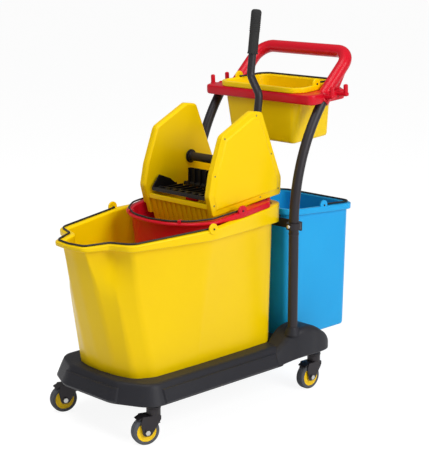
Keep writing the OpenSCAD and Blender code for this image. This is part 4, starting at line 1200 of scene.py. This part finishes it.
@dataclass
class Deck:
    """The dark moulding that carries all: a well for the main bucket and a lobe round each post."""

    main: MainBucket
    well: float = 150.0
    rim: float = 165.0
    foot: float = 110.0
    front: float = 358.0
    half_width: float = 189.0
    rear: float = 255.0
    flare: float = 19.0
    wall: float = 4.0
    gap: float = 2.0
    shoulder: Profile = ((13, 0.0), (8.5, 0.6), (4.5, 2.4), (1.6, 5.4), (0, 9.5))
    spacing: float = 14.0
    proud: float = 4.5
    panel_edge: float = 3.5
    panel_least: float = 20.0
    panel_rear: float = -150.0
    panel_front: float = 76.0
    panel_half: float = 112.0
    nose: float = 30.0
    lobe_inner: float = 141.0
    lobe_half: float = 228.0
    lobe_rear: float = 364.0
    lobe_top: float = 213.0
    lobe_foot: float = 126.0
    lobe_round: float = 18.0
    shelf_top: float = 145.5
    shelf_long: float = 60.0
    boss_z: float = 103.0
    boss: Profile = ((10.05, 0), (19, 0), (20, 1), (20, 42), (0, 42), (0, 30), (10.05, 30))
    form: Form = field(default_factory=Form)

    def skirt(self) -> Outline:
        """Gives the skirt's upper edge."""
        return Outline.mirrored((self.front, 93, 64), (self.front - 46, self.half_width, 50),
                                (POST_X + 45, self.half_width, 10), (POST_X + 32, self.lobe_inner + 8, 10),
                                (-self.rear, self.lobe_inner + 4, 12))

    def shell(self) -> None:
        """Adds the well, the round shoulder and the skirt with its proud panels."""
        upper = self.skirt()
        lower = upper.inset(-self.flare)
        steps = upper.steps(self.spacing)
        rings = [upper.ring(depth, self.rim - drop, steps) for depth, drop in self.shoulder]
        rings += [upper.ring(-3, self.rim - 15, steps), lower.ring(0.6, self.foot + 2.5, steps),
                  lower.ring(2, self.foot, steps), lower.ring(self.wall, self.foot, steps),
                  upper.ring(self.wall, self.well - self.wall, steps)]
        loops = self.form.loft(rings, (False, True))
        seat = self.main.base().inset(-self.gap)
        well = [seat.ring(0, z, seat.steps(self.spacing)) for z in (self.well, self.rim)]
        bowl = self.form.loft(well, (True, False))
        bmesh.ops.bridge_loops(self.form.bm, edges=bowl[1] + loops[0])
        self.form.bevel(bowl[1], width=3)
        raised = [f for f in self.form.bm.faces if self.on_panel(f)]
        bmesh.ops.inset_region(self.form.bm, faces=raised, thickness=self.panel_edge * MM,
                               depth=self.proud * MM, use_even_offset=True, use_boundary=True)

    def on_panel(self, face: bmesh.types.BMFace) -> bool:
        """Tells whether a face of the skirt belongs to a proud panel.

        Args:
            face: A face of the shell.

        Returns:
            True on the side panels and the front panel.
        """
        middle = face.calc_center_median()
        x, y, z = (middle.x - MIDDLE_X) / MM, abs(middle.y) / MM, middle.z / MM
        tall = max(v.co.z for v in face.verts) - min(v.co.z for v in face.verts)
        if tall < self.panel_least * MM or not self.foot < z < self.rim or len(face.verts) > 4:
            return False
        on_side = y > self.half_width and self.panel_rear < x < self.front - self.panel_front
        on_front = x > self.front - self.nose and y < self.panel_half
        return (on_side or on_front) and x * face.normal.x + y * abs(face.normal.y) > 0

    def lobe_rows(self) -> list[list[float]]:
        """Gives a lobe's sections: x, inner and outer side, foot, top and splay of the outer side.

        Returns:
            The sections from the rear forwards.
        """
        rear, x, inner, half = -self.lobe_rear, POST_X, self.lobe_inner, self.lobe_half
        low, top, width = self.lobe_foot, self.lobe_top, self.half_width
        return smooth_rows([(rear, inner + 22, half - 32, low + 2, low + 14, 0),
                            (rear + 7, inner + 9, half - 16, low, low + 27, 0),
                            (rear + 22, inner + 2, half - 5, low, low + 47, 0),
                            (rear + 44, inner, half, low, top - 25, 0),
                            (rear + 74, inner, half, low, top - 7, 0),
                            (rear + 104, inner, half, low, top, 0),
                            (x - 10, inner, half - 5, low - 2, top - 4, 0),
                            (x + 14, inner, half - 16, low - 7, top - 16, 3),
                            (x + 36, inner, width + 14, self.foot + 5, self.rim + 10, 8),
                            (x + 62, inner, width + 4, self.foot + 0.5, self.rim - 12, 15)], 4)

    def lobes(self) -> None:
        """Adds the lobes round the posts, lofted from their rear ends forwards, and the post collars."""
        r, bore = POST_R, POST_R + FIT
        collar = [(r + 9, -20), (r + 6.5, -12), (r + 4, -4), (r + 2.6, 1.5), (r + 1.4, 3), (bore, 2.6),
                  (bore, -40)]
        for side, _ in SIDES:
            rings = []
            for x, inner, outer, low, top, splay in self.lobe_rows():
                bend = min(self.lobe_round, (top - low) * 0.42)
                shape = Outline(((inner, low, 3), (outer + splay, low, 4), (outer, top, bend),
                                 (inner, top, 0.7 * bend)))
                rings.append([at(x, side * y, z) for y, z in shape.points([3] * 4)])
            self.form.loft(rings)
            self.form.lathe(collar, at(POST_X, side * POST_Y, self.lobe_top), UP, steps=48)

    def build(self) -> None:
        """Makes the deck with its bosses and the shelf under the rear bucket."""
        self.shell()
        self.lobes()
        half = self.lobe_inner + 4
        self.form.block(at(-self.rear - self.shelf_long, -half, self.foot + 4),
                        at(-self.rear + 10, half, self.shelf_top), width=3)
        for corner in CORNERS:
            stem = pivot(corner + "_swivel")
            self.form.lathe(self.boss, Vector((stem.x, stem.y, self.boss_z * MM)), UP, steps=36)
        self.form.piece("deck_moulding", DECK, "frame", "base_deck", fold=40)


@dataclass
class Posts:
    """The two bent posts with their clamps, screws and the bracket between them."""

    foot: float = 135.0
    knee: float = 519.0
    bend_r: float = 537.0
    bend_steps: int = 24
    clamp_z: float = 500.0
    clamp_h: float = 18.0
    clamp_wall: float = 8.0
    ferrule_drop: float = 14.0
    ferrule: Profile = ((0, -3.5), (0.7, -3), (0.9, 0), (0.7, 3), (0, 3.5))
    bolt: Profile = ((0, -7.5), (2.5, -7.5), (2.5, 0), (5.6, 0), (5.6, 1.4), (4.6, 3.4), (2.6, 4.6), (0, 5))

    def path(self, y: float) -> Ring:
        """Gives a post's centre line, straight and then bent to the rear.

        Args:
            y: The post's side.

        Returns:
            The points from the foot up.
        """
        line = [at(POST_X, y, z) for z in (self.foot, mix(self.foot, self.knee, 0.5), self.knee)]
        for k in range(1, self.bend_steps + 1):
            turn = math.radians(POST_BEND) * k / self.bend_steps
            back, up = self.bend_r * (1 - math.cos(turn)), self.bend_r * math.sin(turn)
            line.append(at(POST_X - back, y, self.knee + up))
        return line

    def build(self) -> None:
        """Makes both posts, the clamps, the screws and the bracket."""
        ferrule = [(POST_R + out, h) for out, h in self.ferrule]
        for side, name in SIDES:
            form = Form()
            form.sweep(self.path(side * POST_Y), POST_R, sides=32)
            form.lathe(ferrule, at(POST_X, side * POST_Y, self.clamp_z - self.ferrule_drop), UP, steps=40)
            form.piece(name + "_tube", PAINT, "frame", name + "_post")
            rounded(name + "_collar", PAINT, "frame", name + "_clamp", width=1.6, segments=3)
        form = Form()
        for side, _ in SIDES:
            head = at(POST_X + POST_R + self.clamp_wall, side * POST_Y, self.clamp_z + self.clamp_h / 2)
            form.lathe(self.bolt, head, AHEAD, steps=28)
        form.piece("clamp_bolts", ZINC, "frame", "clamp_screws")
        rounded("bracket_plate", PAINT, "frame", "cross_bracket", width=1.2)


@dataclass
class Caster:
    """One swivel caster: socket, fork, axle bolt, hub and tyre."""

    corner: str
    wheel_r: float = 37.5
    half_width: float = 13.0
    bead_r: float = 27.0
    trail: float = 24.0
    side_gap: float = 2.0
    plate: float = 3.0
    eye_r: float = 11.0
    crown_h: float = 17.0
    disc: Profile = ((4.06, 14), (8.6, 14), (9.8, 13.4), (10.6, 11.8), (12, 11.4), (22, 11), (23.4, 11.2),
                     (24.4, 12), (26.9, 12))
    crown: Profile = ((0, -20), (18.4, -20), (19, -19), (19, -0.6), (18.4, 0), (6, 0), (6, 25.4), (5.4, 26),
                      (0, 26))

    def axis(self) -> Vector:
        """Gives the direction of the wheel's axle."""
        return Vector(JOINTS[self.corner + "_roll"]["axis"])

    def spun(self, half: Profile, steps: int, start: Optional[Vector] = None) -> Form:
        """Spins a part of the wheel that is the same on both sides.

        Args:
            half: The profile on one side of the wheel's middle.
            steps: Steps of the full turn.
            start: Where the spin starts.

        Returns:
            The part.
        """
        profile = [*half, *((r, -h) for r, h in reversed(half))]
        form = Form()
        form.lathe(profile, pivot(self.corner + "_roll"), self.axis(), steps, True, start)
        return form

    def wheel(self) -> None:
        """Makes the tyre, round-shouldered with a groove each side of the tread, and the dished hub."""
        r, w, bead = self.wheel_r, self.half_width, self.bead_r
        tread = [(bead, w - 1.2), (bead + 3, w), (r - 3.4, w - 0.5), (r - 1.4, w - 2.4), (r - 0.5, w - 4.6),
                 (r - 0.15, w - 6.6), (r - 0.9, w - 7.2), (r - 0.9, w - 8), (r - 0.05, w - 8.6), (r, w - 11)]
        body = self.corner + "_wheel"
        self.spun(tread, steps=72, start=-UP).piece(self.corner + "_tread", TYRE, body, self.corner + "_tyre")
        self.spun(self.disc, steps=60).piece(self.corner + "_disc", HUB, body, self.corner + "_hub")

    def yoke(self) -> None:
        """Makes the fork: two tapered plates, the fender between them, the crown and the stem."""
        stem = pivot(self.corner + "_swivel")
        axis = self.axis()
        ahead = Vector((axis.y, -axis.x, 0))
        trail, r, thick, eye = self.trail, self.wheel_r, self.plate, self.eye_r
        inner = self.half_width + self.side_gap
        bridge = 2 * r + 2 * thick

        def spot(x: float, y: float, z: float) -> Vector:
            """Gives a point from its places ahead of the stem, along the axle and above the floor."""
            return Vector((stem.x, stem.y, z * MM)) + (ahead * x + axis * y) * MM

        form = Form()
        plate = Outline(((trail - eye, r - eye, eye - 0.1), (trail + eye, r - eye, eye - 0.1),
                         (trail + 18, bridge - 20, 9), (trail + 13, bridge, 3), (-15, bridge, 3),
                         (-15, bridge - 12, 9)))
        for side, _ in SIDES:
            shape = [spot(x, side * inner, z) for x, z in plate.points([5] * len(plate.corners))]
            form.bevel(sharp_edges(form.slab(shape, axis * (side * thick * MM))), width=0.8, segments=2)
        turns = [math.radians(54 + 8 * k) for k in range(13)]
        fender = [(r + 2 * thick, a) for a in turns] + [(r + thick, a) for a in reversed(turns)]
        shape = [spot(trail + d * math.cos(a), -inner, r + d * math.sin(a)) for d, a in fender]
        form.slab(shape, axis * (2 * inner * MM))
        form.lathe(self.crown, spot(0, 0, bridge + self.crown_h), UP, steps=40)
        form.piece(self.corner + "_yoke", PAINT, self.corner + "_caster", self.corner + "_fork")

    def build(self) -> None:
        """Makes the caster's pieces."""
        self.wheel()
        self.yoke()
        rounded(self.corner + "_bolt", ZINC, self.corner + "_caster", self.corner + "_axle", width=0.7)
        rounded(self.corner + "_bearing", PAINT, "frame", self.corner + "_socket", width=0.7)


# Wringer and lever


@dataclass
class Wringer:
    """The press that sits in the inner bucket: basket, cheeks, covers, screws, bushes and plates."""

    inner: InnerBucket
    cheek_inner: float = 118.0
    cheek_depth: float = 15.5
    cheek_round: float = 7.0
    cover_depth: float = 10.0
    border: float = 6.4
    flange_gap: float = 1.0
    screw_inset: float = 11.0
    screw_rise: float = 0.5
    screw: Profile = ((0, -11), (1.5, -11), (1.5, -1), (2.7, -1), (2.7, 0), (2.2, 0.35), (0.6, 0.4),
                      (0.6, -0.3), (0, -0.3))
    bush: Profile = ((0.06, 3), (3, 3), (3, 0), (5.6, -0.2), (7, -1.4), (7, -3.6), (5.6, -5), (0.06, -5))

    def floor(self, x: float) -> float:
        """Gives the height of the inner bucket's flange, just cleared."""
        return self.inner.main.top(x) + self.inner.rise(x) + self.flange_gap

    def cheek(self) -> Outline:
        """Gives a cheek's outline in the X-Z plane."""
        rim = self.inner.main.rim
        return Outline(((32, rim - 13, 4), (57, rim + 70, 30), (45, rim + 128, 60), (7, rim + 230, 22),
                        (-107, rim + 287, 20), (-146, rim + 282, 14), (-226, rim + 91, 20),
                        (-224, self.floor(-224) + 6, 8), (-104, self.floor(-104), 4), (-104, rim - 13, 4)))

    def cover(self) -> Outline:
        """Gives a cover's outline, which stops above the flange."""
        return Outline(((42, self.floor(42), 6),) + self.cheek().corners[1:8])

    def screw_points(self) -> Ring:
        """Gives the x and z of the cover screws."""
        c = [Vector(p[:2]) for p in self.cheek().inset(self.screw_inset).corners]
        return [c[0].lerp(c[1], 0.65), c[2], c[3], c[4].lerp(c[5], 0.5), c[5].lerp(c[6], 0.6),
                c[6].lerp(c[7], 0.8), c[7].lerp(c[8], 0.6)]

    def plate(self, outline: Outline, side: int, foot: float, rows: Profile) -> Form:
        """Lofts one plate of a housing.

        Args:
            outline: The plate's outline in the X-Z plane.
            side: 1 on the left, -1 on the right.
            foot: How far from the middle the plate starts.
            rows: How far inside the outline, and how far out from the foot, each row of points lies.

        Returns:
            The plate.
        """
        steps = [4] * len(outline.corners)
        form = Form()
        form.loft([[at(x, side * (foot + out), z) for x, z in outline.inset(depth).points(steps)]
                   for depth, out in rows])
        return form

    def housings(self) -> None:
        """Makes both cheeks and their covers, which have a raised middle."""
        r, deep, high, border = self.cheek_round, self.cheek_depth, self.cover_depth, self.border
        turns = [math.radians(18 * k) for k in range(6)]
        bowed = [(r - r * math.sin(a), r - r * math.cos(a)) for a in turns]
        bowed += [(0, deep - 0.9), (0.6, deep - 0.3)]
        raised = [(0, 0), (0, border - 2), (0.7, border - 0.7), (2.4, border), (14, border + 0.2),
                  (15.6, border + 0.8), (17.4, high - 1.4), (19, high - 0.4), (21.5, high)]
        for side, name in SIDES:
            form = self.plate(self.cheek(), side, self.cheek_inner, bowed)
            form.piece(name + "_housing", YELLOW, "wringer", name + "_cheek", fold=50)
            form = self.plate(self.cover(), side, self.cheek_inner + deep, raised)
            form.piece(name + "_panel", YELLOW, "wringer", name + "_cover", fold=50)

    def screws(self) -> None:
        """Makes the cover screws with a hollow in each head."""
        form = Form()
        top = self.cheek_inner + self.cheek_depth + self.border + self.screw_rise
        for side, _ in SIDES:
            for x, z in self.screw_points():
                form.lathe(self.screw, at(x, side * top, z), LEFT * side, steps=20)
        form.piece("panel_screws", SCREW, "wringer", "cover_screws")

    def bushes(self) -> None:
        """Makes the shaft's flanged bushes."""
        profile = [(SHAFT_R + out, h) for out, h in self.bush]
        for side, name in SIDES:
            form = Form()
            centre = at(SHAFT[0], side * self.cheek_inner, SHAFT[1])
            form.lathe(profile, centre, LEFT * side, steps=44, closed=True)
            form.piece(name + "_sleeve", BLACK, "wringer", name + "_bush")

    def build(self) -> None:
        """Makes the wringer's pieces."""
        rounded("basket_moulding", YELLOW, "wringer", "wringer_basket", width=1.0)
        self.housings()
        self.screws()
        self.bushes()
        for name in ("front", "rear"):
            rounded(name + "_paddle", BLACK, name + "_press", name + "_plate", width=0.9)
        dress(BLACK, "front_sector", "rear_sector")
        dress(ZINC, "drive_sector", "return_spring")


@dataclass
class Lever:
    """The wringer's lever: cross shaft, hub, bent tube and ribbed grip."""

    hub_r: float = SHAFT_R + 9.3
    low_y: float = 93.0
    top_y: float = 53.0
    back: float = 22.9
    lean: float = 7.2
    knee: float = 135.0
    knee_r: float = 120.0
    crank: float = 54.0
    crank_h: float = 50.0
    crank_r: float = 34.0
    height: float = 421.0
    tube_r: float = 11.0
    tube_end: float = 8.0
    grip_len: float = 124.0
    grip_r: float = 15.0
    ribs: int = 8
    ribs_from: float = 0.5
    ribs_to: float = 0.83

    def upper_x(self, z: float) -> float:
        """Gives the upper stretch's x at a height."""
        knee_x = SHAFT[0] - self.knee * math.tan(math.radians(self.back))
        return knee_x - (z - SHAFT[1] - self.knee) * math.tan(math.radians(self.lean))

    def route(self) -> Ring:
        """Gives the tube's centre line.

        Returns:
            The points from the hub to the top.
        """
        turn = math.radians(self.back)
        start = at(SHAFT[0] - self.hub_r * math.sin(turn), self.low_y, SHAFT[1] + self.hub_r * math.cos(turn))
        knee_z = SHAFT[1] + self.knee
        bend_z = knee_z + self.crank
        end_z = SHAFT[1] + self.height - self.tube_end
        rows = [(self.low_y, knee_z, self.knee_r), (self.low_y, bend_z, self.crank_r),
                (self.top_y, bend_z + self.crank_h, self.crank_r), (self.top_y, end_z, 0.0)]
        return bent([(start, 0.0), *((at(self.upper_x(z), y, z), r) for y, z, r in rows)], count=12)

    def grip(self) -> None:
        """Spins the grip with its ribs and round top."""
        lean = math.radians(self.lean)
        up = Vector((-math.sin(lean), 0, math.cos(lean)))
        top_z = SHAFT[1] + self.height
        foot = at(self.upper_x(top_z), self.top_y, top_z) - up * (self.grip_len * MM)
        r, high = self.grip_r, self.grip_len
        plain, dome = self.ribs_from * high, self.ribs_to * high
        profile = [(self.tube_r + 0.3, 0.0), (r - 0.8, 0.0), (r, 0.8), (r, 4.0), (r - 1.0, 5.0),
                   (r - 1.0, plain - 1)]
        pitch = (dome - plain) / self.ribs
        for i in range(self.ribs):
            z = plain + i * pitch
            rib = [(1.0, 0.0), (0.1, 0.3), (0.1, 0.6), (1.0, 0.9)]
            profile += [(r - sunk, z + share * pitch) for sunk, share in rib]
        profile += [(r - 0.5, dome), (r - 0.3, high - 9), (r - 1.2, high - 5.4), (r - 3.4, high - 2.4),
                    (r - 7, high - 0.6), (0, high)]
        form = Form()
        form.lathe(profile, foot, up, steps=40)
        form.piece("grip_sleeve", GRIP, "lever", "lever_grip", fold=50)

    def build(self) -> None:
        """Makes the lever's pieces."""
        form = Form()
        form.sweep(self.route(), self.tube_r, sides=28)
        form.piece("lever_bar", PAINT, "lever", "lever_tube")
        rounded("lever_boss", PAINT, "lever", "lever_hub", width=1.4, segments=3)
        rounded("cross_shaft", PAINT, "lever", "lever_shaft", width=0.8)
        self.grip()


# Stage, light and camera


def hang(name: str, data: bpy.types.ID, place: Vector, ahead: Vector) -> bpy.types.Object:
    """Puts a lamp or a camera in the scene.

    Args:
        name: Its name.
        data: The lamp or camera.
        place: Where it is, in metres.
        ahead: Which way it looks.

    Returns:
        The object.
    """
    made = bpy.data.objects.new(name, data)
    made.location = place
    made.rotation_euler = ahead.to_track_quat("-Z", "Y").to_euler()
    bpy.context.scene.collection.objects.link(made)
    return made


@dataclass(frozen=True)
class Lamp:
    """A square soft lamp that faces the trolley's middle: place and side in metres, power in watts."""

    name: str
    place: Corner
    size: float
    power: float
    aim: Corner = (0.0, 0.0, 0.5)

    def build(self) -> None:
        """Makes the lamp."""
        data = bpy.data.lights.new(self.name, "AREA")
        data.size = self.size
        data.energy = self.power
        hang(self.name, data, Vector(self.place), Vector(self.aim) - Vector(self.place))


@dataclass
class Studio:
    """The pale floor, the soft lamps and the camera at the photograph's viewing angle."""

    image: tuple[int, int] = (429, 455)
    focal_px: float = 1312.0
    sensor: float = 36.0
    azimuth: float = 45.5
    pitch: float = 12.6
    camera_at: Corner = (2451.2, 2596.9, 1304.0)
    ambient: float = 0.29
    floor_size: float = 40.0
    floor_plain: float = 0.8
    floor_dim: float = 0.24
    floor_glow: float = 0.9
    lamps: tuple[Lamp, ...] = (Lamp("side_lamp", (-0.2, 3.6, 2.3), 2.2, 98),
                               Lamp("top_lamp", (1.2, 0.2, 3.6), 2.2, 64),
                               Lamp("front_lamp", (3.6, -0.6, 1.8), 2.0, 4))

    def camera(self) -> None:
        """Makes the camera."""
        data = bpy.data.cameras.new("studio_camera")
        data.sensor_width = self.sensor
        data.lens = self.focal_px / max(self.image) * self.sensor
        a, p = math.radians(self.azimuth), math.radians(self.pitch)
        ahead = Vector((-math.cos(a) * math.cos(p), -math.sin(a) * math.cos(p), -math.sin(p)))
        bpy.context.scene.camera = hang("studio_camera", data, at(*self.camera_at), ahead)

    def floor(self) -> None:
        """Makes the floor, which shows the trolley's shadow on white."""
        bm = bmesh.new()
        bmesh.ops.create_grid(bm, x_segments=1, y_segments=1, size=self.floor_size)
        mesh = bpy.data.meshes.new("studio_floor")
        bm.to_mesh(mesh)
        bm.free()
        graph = Graph(bpy.data.materials.new("studio_floor"))
        plain = graph.node("ShaderNodeBsdfDiffuse", {"Color": grey(self.floor_plain)})
        dim = graph.node("ShaderNodeBsdfDiffuse", {"Color": grey(self.floor_dim)})
        glow = graph.node("ShaderNodeEmission", {"Color": grey(1.0), "Strength": self.floor_glow})
        white = graph.node("ShaderNodeAddShader", {0: dim, 1: glow})
        share = graph.rays(Rays.CAMERA).greater(graph.rays(Rays.GLOSSY))
        mesh.materials.append(graph.close(graph.node("ShaderNodeMixShader", {0: share, 1: plain, 2: white})))
        made = bpy.data.objects.new("studio_floor", mesh)
        bpy.context.scene.collection.objects.link(made)

    def world(self) -> None:
        """Lights the scene evenly from all sides, white to the camera."""
        graph = Graph(bpy.data.worlds.new("studio_world"))
        strength = graph.rays(Rays.CAMERA) * (1 - self.ambient) + self.ambient
        sky = graph.node("ShaderNodeBackground", {"Color": grey(1.0), "Strength": strength})
        bpy.context.scene.world = graph.close(sky)

    def build(self) -> None:
        """Makes the whole studio."""
        self.camera()
        self.floor()
        self.world()
        for lamp in self.lamps:
            lamp.build()
        bpy.context.scene.view_settings.view_transform = "Standard"


def main() -> None:
    """Builds the studio and the trolley's sub-assemblies in order."""
    logging.basicConfig(level=logging.INFO, format="%(name)s: %(message)s")
    Studio().build()
    main_bucket = MainBucket()
    inner = InnerBucket(main_bucket)
    Deck(main_bucket).build()
    Posts().build()
    for corner in CORNERS:
        Caster(corner).build()
    tray = HandleTray()
    tray.build()
    for tub in (main_bucket, inner, rear_bucket(), tray.top_bin()):
        tub.build()
        tub.bail()
    Wringer(inner).build()
    Lever().build()
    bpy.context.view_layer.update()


if __name__ == "__main__":
    main()
